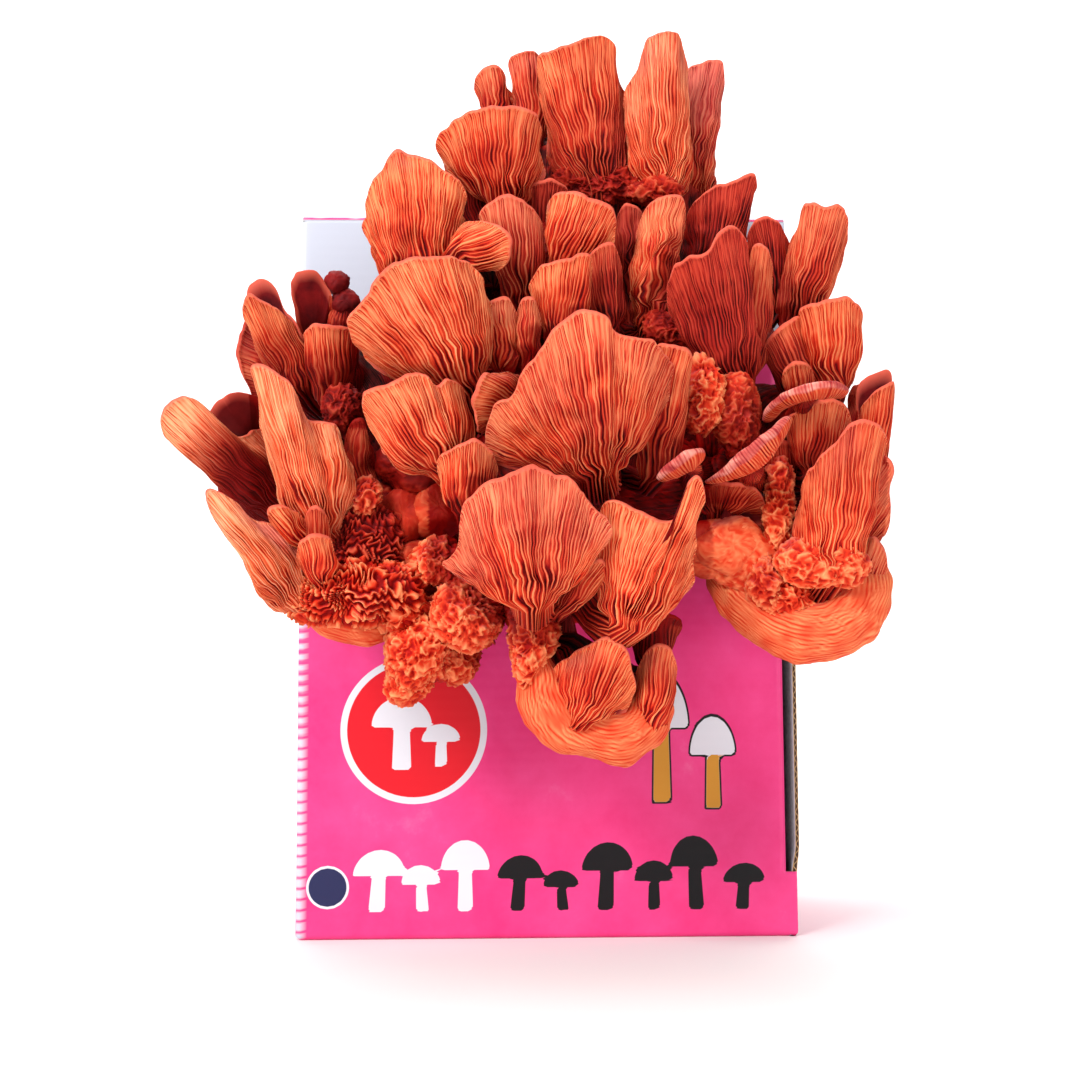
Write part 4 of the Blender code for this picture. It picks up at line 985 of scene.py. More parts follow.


# %% Places of the frilly lumps
# centre, radii in mm, darkness as painted shade, rows' distance (0: fuzzy), and how high the crests stand in
# mm
FRILLS = {
    "left_branch": [
        ((352, 552, 52), (19, 9, 15), 0.55, 3.0, 2.2),
        ((352, 592, 58), (21, 8, 10), 0.0, 3.4, 2.8),
        ((412, 612, 54), (12, 7, 8), 0.1, 0.0, 2.4),
        ((420, 648, 52), (12, 9, 12), 0.0, 0.0, 2.2),
        ((410, 682, 48), (8, 7, 6), 0.0, 0.0, 1.8),
        ((450, 656, 46), (9, 7, 9), 0.0, 0.0, 2.2),
        ((466, 612, 60), (10, 9, 10), 0.0, 0.0, 2.4),
        ((436, 560, 60), (8, 7, 9), 0.0, 0.0, 2.2),
        ((404, 516, 46), (8, 7, 11), 0.6, 0.0, 0.4),
        ((440, 508, 48), (9, 7, 10), 0.1, 0.0, 0.5),
        ((404, 572, 48), (13, 8, 9), 0.35, 0.0, 0.6),
        ((366, 494, 58), (5, 4, 6), 0.1, 0.0, 2.0),
        ((342, 404, 50), (6, 5, 8), 0.6, 0.0, 1.8),
        ((338, 282, 38), (4, 4, 4), 0.9, 0.0, 0.8),
        ((346, 302, 38), (5, 4, 5), 0.9, 0.0, 0.8),
        ((320, 470, 40), (10, 8, 14), 0.9, 0.0, 0.8),
    ],
    "right_branch": [
        ((704, 396, 66), (6, 5, 12), 0.0, 0.0, 2.2),
        ((736, 420, 60), (8, 8, 13), 0.35, 0.0, 1.3),
        ((716, 552, 58), (11, 8, 9), 0.0, 0.0, 0.5),
        ((744, 562, 60), (12, 8, 10), 0.0, 0.0, 0.8),
        ((729, 549, 61), (10, 8, 8), 0.0, 0.0, 0.6),
        ((764, 578, 64), (6, 6, 8), 0.0, 0.0, 2.4),
        ((792, 600, 62), (9, 7, 6), 0.0, 0.0, 2.6),
        ((779, 514, 64), (5, 5, 16), 0.0, 0.0, 2.0),
        ((820, 564, 70), (13, 6, 7), 0.0, 0.0, 1.4),
        ((676, 330, 48), (9, 6, 7), 0.7, 0.0, 1.8),
        ((690, 400, 40), (10, 8, 14), 0.9, 0.0, 1.0),
    ],
    "middle_branch": [
        ((531, 640, 62), (7, 7, 15), 0.0, 0.0, 2.2),
        ((420, 462, 48), (14, 8, 8), 0.7, 0.0, 1.0),
        ((500, 352, 46), (9, 7, 12), 0.3, 0.0, 1.8),
    ],
    "crown_branch": [
        ((600, 182, 26), (15, 6, 7), 0.8, 0.0, 2.0),
        ((660, 194, 34), (9, 5, 5), 0.55, 0.0, 2.2),
        ((636, 184, 20), (8, 6, 9), 0.9, 0.0, 1.6),
        ((547, 148, 10), (6, 5, 12), 0.9, 0.0, 1.0),
        ((560, 250, 30), (14, 8, 14), 0.8, 0.0, 1.0),
        ((640, 290, 30), (12, 8, 18), 0.8, 0.0, 1.0),
    ],
}
print(sum(len(lumps) for lumps in FRILLS.values()), "lumps")

# %% Rolled lips and margins
# rolled lips under three branches: a name, the course and its radii in mm
BOWLS = {
    "middle_branch": [
        ("hook", ((532, 620, 56), (530, 668, 60), (546, 708, 58), (580, 734, 58), (622, 742, 58),
                  (648, 720, 56), (656, 690, 52)), (5, 6, 8, 8, 8, 7, 4)),
    ],
    "right_branch": [
        ("curl", ((868, 556, 52), (868, 600, 58), (842, 632, 62), (800, 638, 62), (756, 616, 58),
                  (728, 586, 52), (712, 564, 46)), (6, 8, 9, 9, 8, 6, 4)),
    ],
    "left_branch": [
        ("lip", ((306, 600, 52), (322, 620, 54), (358, 628, 52), (400, 624, 48)), (4, 5, 5, 4)),
    ],
}

# margins seen edge on, in the same way
MARGINS = {
    "right_branch": [
        ("arched_margin", ((766, 424, 66), (772, 412, 72), (786, 400, 78), (806, 393, 82),
                           (830, 389, 82), (848, 396, 76)), (0.8, 2.4, 3.2, 3.4, 3.2, 1.6)),
        ("long_margin", ((702, 484, 74), (722, 479, 78), (746, 464, 82), (768, 446, 84),
                         (782, 430, 82), (788, 420, 78)), (0.6, 1.8, 3.6, 4.2, 3.0, 1.2)),
        ("leaf_margin", ((658, 481, 84), (672, 471, 88), (690, 461, 90), (706, 454, 88)),
         (0.5, 2.6, 3.6, 1.8)),
    ],
}
print(sum(len(tubes) for place in (BOWLS, MARGINS) for tubes in place.values()), "lips and margins")

# %% Dark flesh and necks
# flesh behind the caps, which closes the gaps between them, painted dark as the shade in those gaps
CORE_RADII = (16, 15, 12)
CORE = {
    "left_branch": [
        ((480, 460, 14), (384, 412, 16), (342, 352, 18)),
        ((450, 550, 18), (360, 520, 26), (306, 484, 32)),
        ((430, 560, 22), (350, 570, 30), (310, 580, 34)),
        ((392, 440, 14), (330, 420, 18), (290, 408, 20)),
    ],
    "crown_branch": [
        ((540, 370, 12), (450, 298, 12), (454, 200, 14)),
        ((570, 340, 12), (552, 220, 10), (550, 138, 8)),
        ((630, 310, 14), (672, 244, 12), (678, 178, 10)),
    ],
    "right_branch": [
        ((660, 400, 14), (732, 310, 12), (756, 262, 14)),
        ((660, 460, 16), (780, 436, 20), (840, 412, 24)),
        ((690, 520, 20), (792, 526, 24), (852, 514, 28)),
    ],
    "middle_branch": [
        ((540, 412, 18), (480, 352, 30), (450, 328, 36)),
        ((600, 490, 24), (630, 412, 40), (642, 382, 44)),
    ],
}

# what joins the knobs and the margins to the rest: the course and its radii in mm
NECKS = {
    "left_branch": [
        (((352, 424, 24), (344, 340, 34), (344, 296, 38)), (6, 3.5, 3)),
    ],
    "right_branch": [
        (((800, 440, 38), (806, 398, 78)), (7, 2)),
        (((750, 490, 38), (752, 468, 80)), (8, 2)),
        (((700, 480, 34), (692, 470, 84)), (7, 2)),
    ],
}
print(sum(len(tubes) for place in (CORE, NECKS) for tubes in place.values()), "tubes behind the caps")


# %% Keep to the solids' box
def inside_box(points):
    """Keep the points in the solids' box: past a line `room` before each of its sides, a distance d
    becomes room (1 - exp(-d / room)). They end a gap short of the box."""
    room, gap = 5 * MM, 0.1 * MM
    low, high = (np.array(c) for c in CAD_BOX)
    beyond = np.maximum(points - (high - gap - room), 0.0)
    points = points - beyond + room * (1.0 - np.exp(-beyond / room))
    beyond = np.maximum(low + gap + room - points, 0.0)
    return points + beyond - room * (1.0 - np.exp(-beyond / room))


# %% Grow every branch
BASE_CENTRE, BASE_RADII = (558, 484, 20), (44.0, 21.0, 44.0)


def grow(solid, name, make, *shape, **finish):
    """Make a surface with a seed of its own and keep it, with the name of the solid it replaces."""
    name = f"{solid.replace('_branch', '')}_{name}"
    grid, marks = make(*shape, seed=10 * len(grown), **finish)
    grown.append((name, inside_box(grid), marks, solid))


# the base's darkness is painted shade under the caps
grid, marks = frills(BASE_CENTRE, BASE_RADII, seed=3, dark=0.4, crimp=0.8, step=1.2)
grown = [("cluster_base", inside_box(grid), marks, "cluster_base")]
for solid, branch in BRANCHES.items():
    trunk = (BASE_CENTRE, branch.shoulder)
    grow(solid, "trunk", stalk, trunk, (branch.thickness, branch.thickness), step=0.9)
    for order, limb in enumerate(branch.limbs):
        course = (branch.shoulder, limb.fork)
        grow(solid, f"limb_{order}", stalk, course, (limb.thickness, limb.thickness), step=0.9)
        fork = seen(limb.fork)
        for number, cap in enumerate(limb.caps):
            run = seen(cap.hub) - fork
            root = fork + run * min(0.25, 0.5 * limb.thickness * MM / np.linalg.norm(run))
            grow(solid, f"mushroom_{order}_{number}", mushroom, cap, root)
    for number, (centre, radii, dark, rows_apart, crimp) in enumerate(FRILLS.get(solid, [])):
        grow(solid, f"frills_{number}", frills, centre, radii, dark=dark, rows_apart=rows_apart,
             crimp=crimp, step=0.42 if crimp > 1.2 else 0.8)
    for name, course, radii in BOWLS.get(solid, []):
        grow(solid, name, stalk, course, radii, rib=0.3, dark=0.0, step=0.5)
    for name, course, radii in MARGINS.get(solid, []):
        grow(solid, name, stalk, course, radii, rib=0.35, dark=0.3, step=0.4, margin=True)
    # cores and necks are painted dark: painted shade behind the caps
    for number, course in enumerate(CORE.get(solid, [])):
        grow(solid, f"core_{number}", stalk, course, CORE_RADII, rib=1.4, dark=0.9, step=1.2)
    for number, (course, radii) in enumerate(NECKS.get(solid, [])):
        grow(solid, f"neck_{number}", stalk, course, radii, rib=0.8, dark=0.7, step=0.6)
print(len(grown), "surfaces")

# %% [markdown]
# ## Depth in the cluster
# In the folds between caps light bounces from red flesh many times, so they look a deep red, not
# grey; here that red is painted shade. A front is measured first: for each square of 6 mm, seen from
# the front, the nearest flesh, spread a little sideways. Each point then carries how far behind that
# front it lies, and is painted redder and darker the further back it is.

# %% Depth in the cluster
CELL = 6 * MM
EMPTY = 1.0                                    # metres: a front further back than any flesh
# the painted shade by depth begins and ends at these distances
SHADE_FROM, SHADE_FULL = 4 * MM, 30 * MM       # how far behind the front the red begins and ends
everything = np.concatenate([grid.reshape(-1, 3) for _, grid, _, _ in grown])
LOW = everything.min(0) - 3 * CELL
SHAPE = tuple(((everything.max(0) - LOW) / CELL).astype(int)[[0, 2]] + 4)


def cell_of(points):
    """Column and row of a point's square."""
    return tuple(((points - LOW) / CELL).astype(int)[..., k] for k in (0, 2))


front = np.full(SHAPE, EMPTY)
np.minimum.at(front, cell_of(everything), everything[:, 1])
for _ in range(2):      # halfway to the mean of the second to fourth nearest of the squares around
    spread = np.pad(front, 1, constant_values=EMPTY)
    around = [spread[i:i + SHAPE[0], j:j + SHAPE[1]] for i in range(3) for j in range(3)]
    front = np.minimum(front, 0.5 * front + 0.5 * np.sort(around, axis=0)[1:4].mean(0))

triangles = 0
for name, grid, marks, solid in grown:
    behind = grid[..., 1] - front[cell_of(grid)]
    # painted shade: darker the further behind the front
    marks["deep"] = np.maximum(marks["deep"], smooth(SHADE_FROM, SHADE_FULL, behind))
    piece = grid_mesh(name, grid, marks, FLESH_MATERIAL)
    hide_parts(solid)
    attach(piece, "root")
    triangles += 2 * len(piece.data.polygons)
print("triangles in the cluster:", triangles)

# %% [markdown]
# ## The printed carton
# A die-cut box of fine corrugated board: two paper liners glued to a wavy one between them, here at
# 3.5 mm a wave. The waves run across the front, so they telegraph through as a faint washboard and
# crack the ink into a row of white specks at the fold. A plain box would hide all that, and a box
# cut with tools would lose its grid, so each sheet is a grid with an outer and an inner skin, joined
# wherever the grid has an edge: round the window, along the open joint on the right and at its ends.

# %% Sheets of corrugated board
BOARD = 1.6 * MM
FLUTE = 3.5 * MM
FOLD_RADIUS = 1.7 * MM


def board(name, outer, inner, quads, marks):
    """Outer skin, inner skin turned over, and a strip wherever a quad's edge has no neighbour.
    The mark `skin` is 0 on the outer skin and 1 on the inner one, so it crosses each cut edge."""
    count = len(outer)
    edges = np.concatenate([quads[:, [k, (k + 1) % 4]] for k in range(4)])
    forth, back = edges[:, 0] * count + edges[:, 1], edges[:, 1] * count + edges[:, 0]
    free = edges[~np.isin(forth, back)]
    strip = np.stack([free[:, 1], free[:, 0], free[:, 0] + count, free[:, 1] + count], -1)
    faces = np.concatenate([quads, quads[:, ::-1] + count, strip])
    kinds = np.repeat([0, 1, 2], [len(quads), len(quads), len(strip)])
    marks = {mark_name: np.concatenate([values, values]) for mark_name, values in marks.items()}
    marks["skin"] = np.repeat([0.0, 1.0], count)
    places = np.concatenate([outer, inner])
    piece = new_piece(name, places, [faces], marks, BOARD_MATERIALS, kinds, is_smooth=kinds < 2)
    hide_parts("carton")
    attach(piece, "root")
    print(name, 2 * len(faces), "triangles")
    return piece


def grid_quads(rows, columns, closed=False):
    """Every square of a grid, as four numbers of points."""
    index = np.arange(rows * columns).reshape(rows, columns)
    right = np.roll(index, -1, 1)
    squares = np.stack([index[:-1], right[:-1], right[1:], index[1:]], -1)
    return (squares if closed else squares[:, :-1]).reshape(-1, 4)


# %% [markdown]
# ## The print
# Flat ink, so nothing is raised. Each motif is a distance in millimetres from its outline, below 0
# inside, and the sheet's points carry it: between points it runs straight, so the outline stays
# sharp in the material although the grid is coarse.

# %% Distances to an outline
BRIM, STEM = 0.58, 0.26   # where a motif's cap begins, of its height; its stem, of its half width


def circle(x, z, centre, radius):
    """How far outside a circle each point is."""
    return np.hypot(x - centre[0], z - centre[1]) - radius


def ellipse(x, z, centre, radii):
    """Near the outline, (length of (x / a, z / b) - 1) min(a, b) is the distance to it."""
    return (np.hypot((x - centre[0]) / radii[0], (z - centre[1]) / radii[1]) - 1.0) * min(radii)


def little_mushroom(x, z, foot, height, width, lean=0.0):
    """A half-round cap on a tapering stem: the smaller of two distances."""
    x = x - lean * (z - foot[1])
    brim = foot[1] + BRIM * height
    cap = np.maximum(ellipse(x, z, (foot[0], brim), (width, 0.42 * height)), brim - z)
    taper = width * (STEM + 0.10 * (brim - z) / height)
    stem = np.maximum(np.abs(x - foot[0]) - taper, np.maximum(foot[1] - z, z - brim - 0.5))
    return np.minimum(cap, stem)


# %% Motifs
FAR = 9.0                 # mm: what a point carries that is nowhere near a motif
# foot, height, half the cap's width and lean of each mushroom in the row, in millimetres
ROW_FOOT, WHITE_ONES = 9.0, 3
ROW = [(-56, 20, 8.5, 0.06), (-41, 15, 6.5, -0.05), (-27, 23, 8, 0.0), (-10, 18, 7.5, 0.08),
       (5, 13, 6, -0.06), (19, 22, 8.5, 0.05), (35, 16, 6.5, 0.0), (49, 24, 8, -0.04), (64, 15, 7, 0.08)]
# foot, height and half width: two tall ones on the right, and two on the disc
TALL = (((38, 44), 42, 9), ((55, 42), 30, 7.5))
PAIR = (((-48, 55), 24, 10), ((-35, 56), 14, 6.5))


def printed(x, z):
    """Distances in millimetres to the motifs of each ink."""
    row = [little_mushroom(x, z, (foot, ROW_FOOT), height, width, lean) for foot, height, width, lean in ROW]
    pair = [little_mushroom(x, z, *motif) for motif in PAIR]
    tall, stems = np.full(x.shape, FAR), np.full(x.shape, FAR)
    for foot, height, width in TALL:
        outline = little_mushroom(x, z, foot, height, width)
        tall = np.minimum(tall, outline)
        stems = np.minimum(stems, np.maximum(outline, z - foot[1] - BRIM * height))
    return {"black": np.min(row[WHITE_ONES:], 0), "tall": tall, "stems": stems,
            "disc": circle(x, z, (-44, 68), 22.0), "white": np.min(row[:WHITE_ONES] + pair, 0),
            "badge": circle(x, z, (-72, 17), 6.2)}


print(len(ROW) + len(TALL) + len(PAIR), "mushrooms in the print")

# %% Inks
BLUR, FINE_BLUR = 0.06, 0.05       # mm: half the width of an ink's edge, and of the top line's
WHITE_INK, BLACK_INK = "#DFDEE6", "#060307"
INKS = ("black", "tall", "stems", "disc", "white", "badge")
# which motif, how far beyond its outline the ink reaches in mm, and the ink: the last lies on top
LAYERS = [("black", 0.0, BLACK_INK), ("tall", 0.6, BLACK_INK), ("tall", 0.0, WHITE_INK),
          ("stems", 0.0, "#D08F2C"), ("disc", 2.2, WHITE_INK), ("disc", 0.0, "#DC0A20"),
          ("white", 0.0, WHITE_INK), ("badge", 0.8, WHITE_INK), ("badge", 0.0, "#23264F")]


def inked(tree, colour, name, beyond, ink):
    """Lay an ink inside a motif's outline, moved out by `beyond` mm, sharp to a tenth of a millimetre."""
    edge = {"From Min": beyond + BLUR, "From Max": beyond - BLUR}
    inside = node(tree, "MapRange", edge, Value=mark(tree, name))
    return mix(tree, inside.outputs[0], colour, linear(ink))


def above(tree, height, line, blur):
    """1 above a height on the carton in metres, 0 below it."""
    edge = {"From Min": line - blur * MM, "From Max": line + blur * MM}
    return node(tree, "MapRange", edge, Value=height).outputs[0]


# %% Printed liner
SCUFF_SCALE = 35.0        # patches of 29 mm
BAND_FOOT = 198.0         # mm: above this the print is white, up to a line of pink at the top fold
TOP_LINE = 1.3            # mm: how far below the top that line begins


def printed_liner():
    """Clay-coated white liner, printed in flat inks under a thin varnish: a soft sheen, small scuffs
    where it has rubbed, and cracks along the folds that show the white clay."""
    made, tree, shader, place = new_material("printed clay-coated liner")
    height = node(tree, "SeparateXYZ", Vector=place).outputs[2]
    wear = {"Scale": SCUFF_SCALE, "Detail": 6.0, "Roughness": 0.65}
    scuffs = node(tree, "TexNoise", wear, Vector=place).outputs["Fac"]
    pink = ramp(tree, scuffs, [(0.35, "#E8307A"), (0.62, "#F0438A"), (0.80, "#F46AA2")])
    clay = linear("#C8CCDA")
    colour = mix(tree, above(tree, height, BAND_FOOT * MM, BLUR), pink, clay)
    colour = mix(tree, above(tree, height, CARTON_HEIGHT - TOP_LINE * MM, FINE_BLUR), colour, pink)
    for name, beyond, ink in LAYERS:
        colour = inked(tree, colour, name, beyond, ink)
    colour = mix(tree, mark(tree, "crack"), colour, clay)
    tree.links.new(colour, shader.inputs["Base Color"])
    rough = node(tree, "MapRange", {"To Min": 0.34, "To Max": 0.52}, Value=scuffs).outputs[0]
    tree.links.new(rough, shader.inputs["Roughness"])
    finish(shader, {"Specular IOR Level": 0.3})
    return made


# %% Inside liner and cut edge
FIBRE_SCALE = 700.0       # fibres of 1.4 mm


def white_liner():
    """The inside of the board: uncoated white liner, painted a little lavender all over as the shade it
    stands in.
    """
    made, tree, shader, place = new_material("uncoated white liner")
    fibres = node(tree, "TexNoise", {"Scale": FIBRE_SCALE, "Detail": 4.0}, Vector=place).outputs["Fac"]
    tree.links.new(ramp(tree, fibres, [(0.3, "#CFC6D6"), (0.7, "#E9E3EE")]), shader.inputs["Base Color"])
    finish(shader, {"Roughness": 0.85})
    return made


def cut_edge():
    """The cut edge of corrugated board: brown fluting between two thin liners, painted dark between the
    flutes as shade.
    The flute is where `skin` = 0.5 + 0.36 sin(2 pi (y + z) / 3.5 mm)."""
    made, tree, shader, place = new_material("cut corrugated edge")
    axes = node(tree, "SeparateXYZ", Vector=place)
    along = node(tree, "Math", {"operation": "ADD"}, i0=axes.outputs[1], i1=axes.outputs[2])
    turn = node(tree, "Math", {"operation": "MULTIPLY", 1: 2 * np.pi / FLUTE}, i0=along)
    wave = node(tree, "Math", {"operation": "MULTIPLY_ADD", 1: 0.36, 2: 0.5},
                i0=node(tree, "Math", {"operation": "SINE"}, i0=turn))
    skin = mark(tree, "skin")
    gap = node(tree, "Math", {"operation": "ABSOLUTE"},
               i0=node(tree, "Math", {"operation": "SUBTRACT"}, i0=skin, i1=wave))
    middle = node(tree, "Math", {"operation": "ABSOLUTE"},
                  i0=node(tree, "Math", {"operation": "SUBTRACT", 1: 0.5}, i0=skin))
    flute = node(tree, "MapRange", {"From Min": 0.16, "From Max": 0.10}, Value=gap).outputs[0]
    liner = node(tree, "MapRange", {"From Min": 0.36, "From Max": 0.40}, Value=middle).outputs[0]
    paper = node(tree, "Math", {"operation": "MAXIMUM"}, i0=flute, i1=liner).outputs[0]
    # painted shade: dark brown where there is no paper, between the flutes
    colour = mix(tree, paper, linear("#3A2314"), linear("#C29A6B"))
    tree.links.new(colour, shader.inputs["Base Color"])
    finish(shader, {"Roughness": 0.9})
    return made


BOARD_MATERIALS = [printed_liner(), white_liner(), cut_edge()]
print("board:", ", ".join(material.name for material in BOARD_MATERIALS))

# %% [markdown]
# ## The carton's walls
# One sheet goes round: from the front panel's free edge on the right, across the front, and round
# the left, back and right walls to that wall's own raw edge. Below 21 mm and above 190 mm the joint
# is closed. Quads inside the window are left out, and the points round it are moved onto its circle.

# %% The walls' plan
HALF_W, HALF_D = CARTON_WIDTH / 2, CARTON_DEPTH / 2
JOINT_X = HALF_W - BOARD - 2.2 * MM
SPLAY_Y = -HALF_D + 12 * MM       # from here on the right wall bends out towards the open joint
LIP = 0.4 * MM                    # the round at the right wall's raw edge
FRONT_STEP, PLAIN_STEP, SPLAY_STEP = 2.2 * MM, 8 * MM, 2 * MM      # of the points along each wall


def corner(x, y, start, radius):
    """Seven points of a quarter circle, from the angle `start` on."""
    a = start + np.linspace(0.0, np.pi / 2, 7)
    return np.stack([x + radius * np.cos(a), y + radius * np.sin(a)], -1)


def side_run(start, end, step):
    """Points from start to end, without the last, about a step apart."""
    start, end = np.array(start), np.array(end)
    count = max(2, round(np.linalg.norm(end - start) / step))
    return start + (end - start) * np.linspace(0.0, 1.0, count, endpoint=False)[:, None]


def wall_plan():
    """The walls' course seen from above, and how many of its points lie in the open joint."""
    r, left, right, front, back = FOLD_RADIUS, -HALF_W, HALF_W, -HALF_D, HALF_D
    edge = [(right, front + LIP), (right - 0.3 * LIP, front + 0.3 * LIP), (right - LIP, front)]
    joint = side_run((right - 2 * LIP, front), (JOINT_X + 0.3 * MM, front), 1 * MM)
    return np.concatenate([
        side_run((JOINT_X, front), (left + r, front), FRONT_STEP),
        corner(left + r, front + r, np.pi, r)[::-1],
        side_run((left, front + r + 1 * MM), (left, back - r), PLAIN_STEP),
        corner(left + r, back - r, np.pi / 2, r)[::-1],
        side_run((left + r + 1 * MM, back), (right - r, back), PLAIN_STEP),
        corner(right - r, back - r, 0.0, r)[::-1],
        side_run((right, back - r - 1 * MM), (right, SPLAY_Y), PLAIN_STEP),
        side_run((right, SPLAY_Y), (right, front + LIP), SPLAY_STEP),
        edge, joint,
    ]), len(edge) + len(joint)


# %% The walls' skins
JOINT_FOOT, JOINT_HEAD = 21 * MM, 190 * MM
SPLAY, CRUSHED = 0.9 * MM, 0.25   # how far the wall bends out, and how much of its board is crushed
WASHBOARD = 0.02 * MM             # half the height of the waves that show through


def wall_skins(plan):
    """The plan carried up. Towards the foot and the head it draws in by r - sqrt(r^2 - (r - z)^2),
    the round of a fold. The washboard is 0.02 mm (sin(2 pi z / 3.5 mm) - 1). Along the open joint
    the right wall bends out, and its board is crushed thinner."""
    r = FOLD_RADIUS
    around = np.roll(plan, -1, 0) - np.roll(plan, 1, 0)
    out = unit(np.stack([-around[:, 1], around[:, 0]], -1))
    front_or_back = np.abs(plan[:, 1]) > HALF_D - 0.6 * r
    head = np.where(front_or_back, CARTON_HEIGHT - r, CARTON_HEIGHT - BOARD - 0.3 * MM)
    v = np.linspace(0.0, 1.0, int(CARTON_HEIGHT / (FLUTE / 4)))[:, None]
    z = r * 0.02 + v * (head - r * 0.02)
    draw = r - np.sqrt(np.maximum(r ** 2 - np.maximum(r - z, 0.0) ** 2, 0.0))
    waves = WASHBOARD * (np.sin(2 * np.pi * z / FLUTE) - 1.0)
    waves = waves * smooth(r, 3 * r, z) * smooth(0.0, 4 * MM, head - z)
    splay = smooth(SPLAY_Y, -HALF_D, plan[:, 1]) * (plan[:, 0] > HALF_W - 0.01 * MM)
    splay = splay * smooth(JOINT_FOOT - 1 * MM, JOINT_FOOT + 9 * MM, z)
    splay = splay * smooth(JOINT_HEAD + 1 * MM, JOINT_HEAD - 9 * MM, z)
    place = plan + (waves - draw + SPLAY * splay)[..., None] * out
    behind = place - out * BOARD * (1.0 - CRUSHED * splay[..., None])
    return [np.concatenate([skin, z[..., None]], -1).reshape(-1, 3) for skin in (place, behind)]


# %% The joint and the window
WINDOW_CENTRE, WINDOW_RADIUS = (4 * MM, 146 * MM), 31 * MM


def open_up(skins, quads, columns, joint_columns):
    """Leave out the quads of the open joint and of the window, and move the points round the window
    onto its circle, on both skins."""
    middle = skins[0][quads].mean(1)
    strip = np.arange(len(quads)) % columns >= columns - joint_columns
    joint = strip & (middle[:, 2] > JOINT_FOOT) & (middle[:, 2] < JOINT_HEAD)
    off = circle(middle[:, 0], middle[:, 2], WINDOW_CENTRE, WINDOW_RADIUS)
    window = (off < 0.0) & (middle[:, 1] < 1 * MM - HALF_D)
    kept = quads[~(joint | window)]
    ring = np.intersect1d(kept, quads[window])
    for skin in skins:
        spoke = skin[ring][:, [0, 2]] - WINDOW_CENTRE
        skin[ring[:, None], [0, 2]] = WINDOW_CENTRE + unit(spoke) * WINDOW_RADIUS
    return kept


# %% The walls
def wall_marks(outer):
    """The print on the front, and white specks at the left fold where the ink cracks on the waves."""
    x, z = outer[:, 0] / MM, outer[:, 2] / MM
    is_front = outer[:, 1] < -HALF_D + 0.5 * MM
    marks = {ink: np.where(is_front, values, FAR) for ink, values in printed(x, z).items()}
    fold = np.hypot(x + HALF_W / MM - 0.9, outer[:, 1] / MM + HALF_D / MM - 0.3)
    waves = np.sin(2 * np.pi * z / (FLUTE / MM)) - 0.25 * cloud(outer, 9 * MM, 3)
    return marks | {"crack": smooth(1.35, 0.75, fold) * smooth(-0.45, -0.05, waves)}


def walls():
    """The plan, its two skins, the openings and the print, with the points that are left."""
    plan, joint_columns = wall_plan()
    skins = wall_skins(plan)
    quads = grid_quads(len(skins[0]) // len(plan), len(plan), closed=True)[:, ::-1]
    kept = open_up(skins, quads, len(plan), joint_columns)
    marks = wall_marks(skins[0])
    used, renumbered = np.unique(kept, return_inverse=True)
    outer, inner = (skin[used] for skin in skins)
    marks = {mark_name: values[used] for mark_name, values in marks.items()}
    return board("carton_walls", outer, inner, renumbered.reshape(kept.shape), marks)


walls()

# %% [markdown]
# ## Flaps and floor
# The two top flaps grow out of the front and back panels over a fold, and meet in the middle. The
# floor is one level sheet. They carry no print, but the ink cracks along the flaps' folds too.

# %% Flaps
def unprinted(skin):
    """A sheet's marks far from every motif, with no crack in it."""
    return {ink: np.full(len(skin), FAR) for ink in INKS} | {"crack": np.zeros(len(skin))}


def flap(name, side):
    """A top flap: up over the fold of the front (side -1) or back (1) panel, a quarter circle, then
    level to the seam in the middle. Its two side edges are cut, and show the flutes."""
    r = FOLD_RADIUS
    a = np.linspace(0.0, np.pi / 2, 8)
    fold = np.stack([side * (HALF_D - r + r * np.cos(a)), CARTON_HEIGHT - r + r * np.sin(a)], -1)
    level = side_run(fold[-1], (side * 0.5 * MM, CARTON_HEIGHT), 3 * MM)[1:]
    profile = np.concatenate([fold, level, [[side * 0.5 * MM, CARTON_HEIGHT]]])
    along = np.gradient(profile, axis=0)
    inward = unit(np.stack([-along[:, 1], along[:, 0]], -1)) * side
    x = np.linspace(-HALF_W + 0.3 * MM, HALF_W - 0.3 * MM, 56)
    skins = []
    for depth in (0.0, BOARD):
        line = profile + inward * depth
        skins.append(np.stack(np.broadcast_arrays(x, line[:, :1], line[:, 1:]), -1).reshape(-1, 3))
    quads = grid_quads(len(profile), len(x))
    if side > 0:
        quads = quads[:, ::-1]
    marks = unprinted(skins[0])
    fold_line = np.abs(skins[0][:, 2] - (CARTON_HEIGHT - 0.3 * r)) / MM
    marks["crack"] = smooth(0.8, 0.2, fold_line) * smooth(0.1, 0.5, cloud(skins[0], 5 * MM, 5)) * 0.7
    return board(name, *skins, quads, marks)


flap("carton_flap_front", -1)
flap("carton_flap_back", 1)


# %% Floor
def floor_sheet():
    """The floor of the carton, level, inside the rounds of the walls' folds."""
    half_x, half_y = HALF_W - FOLD_RADIUS, HALF_D - FOLD_RADIUS
    x, y = np.linspace(-half_x, half_x, 30)[None, :], np.linspace(-half_y, half_y, 20)[:, None]
    skins = [np.stack(np.broadcast_arrays(x, y, z), -1).reshape(-1, 3) for z in (0.0, BOARD)]
    quads = grid_quads(y.size, x.size)[:, ::-1]
    return board("carton_floor", *skins, quads, unprinted(skins[0]))


floor_sheet()

# %% [markdown]
# ## The block
# Inside stands the block that feeds the cluster: grain and sawdust bound by white mycelium, in a
# film. It is only seen through the open joint, so its solid stays and gets the film's material, painted
# near black as the shade in the joint.

# %% Block
FILM_SCALE = 40.0         # folds of 25 mm


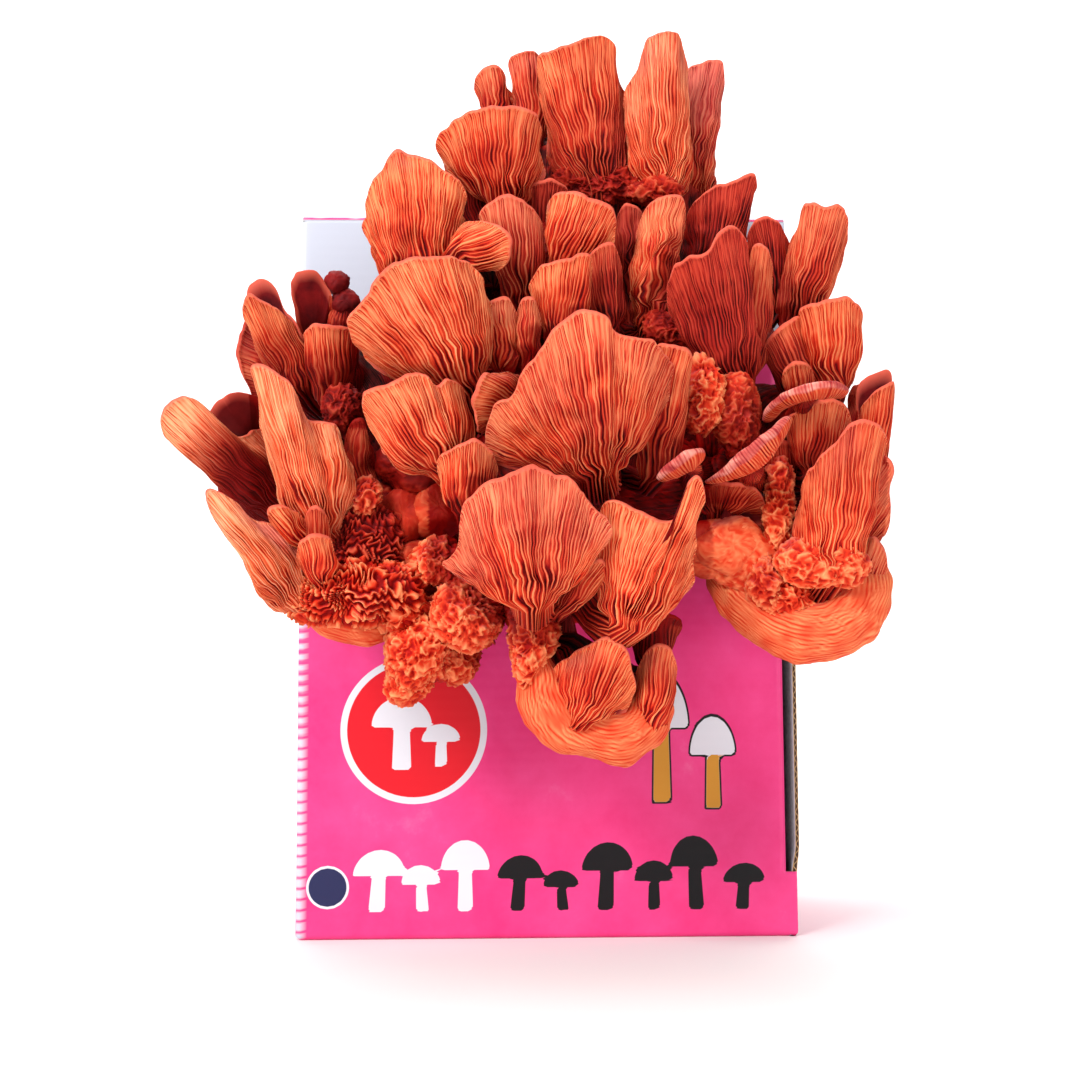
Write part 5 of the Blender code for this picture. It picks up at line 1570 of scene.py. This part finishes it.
def shade_film():
    """Polyethylene film over the block, painted near black as the shade in the open joint, a little lighter
    and darker along its folds: it hangs in soft folds and shines.
    """
    made, tree, shader, place = new_material("polyethylene film painted black as shade")
    soft = {"Scale": FILM_SCALE, "Detail": 3.0, "Distortion": 1.5}
    folds = node(tree, "TexNoise", soft, Vector=place).outputs["Fac"]
    tree.links.new(ramp(tree, folds, [(0.3, "#0E0B0E"), (0.7, "#1C171B")]), shader.inputs["Base Color"])
    finish(shader, {"Roughness": 0.38})
    bump = node(tree, "Bump", {"Strength": 0.6, "Distance": 1.5 * MM}, Height=folds)
    tree.links.new(bump.outputs[0], shader.inputs["Normal"])
    return made


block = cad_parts["substrate_block"]
block.data.materials.clear()
block.data.materials.append(shade_film())
print(block.name, "wears", block.data.materials[0].name)

# %% [markdown]
# ## The stage
# A product photo on white: the floor runs up into the backdrop without a line, and large soft lamps
# give soft edges to the shade. The main one stands on the left, high up. A weaker one fills the
# right, one above lights the top, and one behind makes the backdrop bright.

# %% The stage
STAGE_FRONT, BEND_START, BEND, STAGE_TOP, STAGE_HALF = -1.5, 0.9, 0.5, 2.5, 2.5      # metres


def stage():
    """A level floor, a quarter circle and an upright backdrop, as one strip."""
    mesh = bpy.data.meshes.new("floor")
    bend = [(BEND_START + BEND * np.sin(a), BEND - BEND * np.cos(a)) for a in np.linspace(0.0, np.pi / 2, 40)]
    curve = [(STAGE_FRONT, 0.0), *bend, (BEND_START + BEND, STAGE_TOP)]
    places = [(x, y, z) for y, z in curve for x in (-STAGE_HALF, STAGE_HALF)]
    quads = [(2 * i, 2 * i + 1, 2 * i + 3, 2 * i + 2) for i in range(len(curve) - 1)]
    mesh.from_pydata(places, [], quads)
    mesh.shade_smooth()
    floor = bpy.data.objects.new("floor", mesh)
    bpy.context.scene.collection.objects.link(floor)
    made, _, shader, _ = new_material("white paper backdrop")
    finish(shader, {"Base Color": linear("#F4F3F2"), "Roughness": 0.9})
    mesh.materials.append(made)


def soft_box(name, place, target, size, power):
    """A square area light aimed at a point."""
    light = bpy.data.lights.new(name, "AREA")
    light.shape = "SQUARE"
    light.size = size
    light.energy = power
    lamp = bpy.data.objects.new(name, light)
    lamp.location = place
    lamp.rotation_euler = (Vector(target) - Vector(place)).to_track_quat("-Z", "Y").to_euler()
    bpy.context.scene.collection.objects.link(lamp)
    print(name, "lamp,", power, "W")


stage()
soft_box("key", (-0.75, -1.0, 0.85), (0, 0, 0.15), 0.55, 20)
soft_box("fill", (0.9, -0.8, 0.3), (0, 0, 0.15), 0.9, 5)
soft_box("top", (0, 0.1, 1.4), (0, 0, 0), 1.0, 8)
soft_box("backdrop", (0, 0.55, 1.3), (0, 1.4, 0.3), 1.0, 14)

# %% Light from all sides
WORLD_STRENGTH = 0.35
world = bpy.data.worlds.new("studio")
bpy.context.scene.world = world
world.use_nodes = True
finish(world.node_tree.nodes["Background"], {"Color": (1, 1, 1, 1), "Strength": WORLD_STRENGTH})
print("world at", WORLD_STRENGTH)
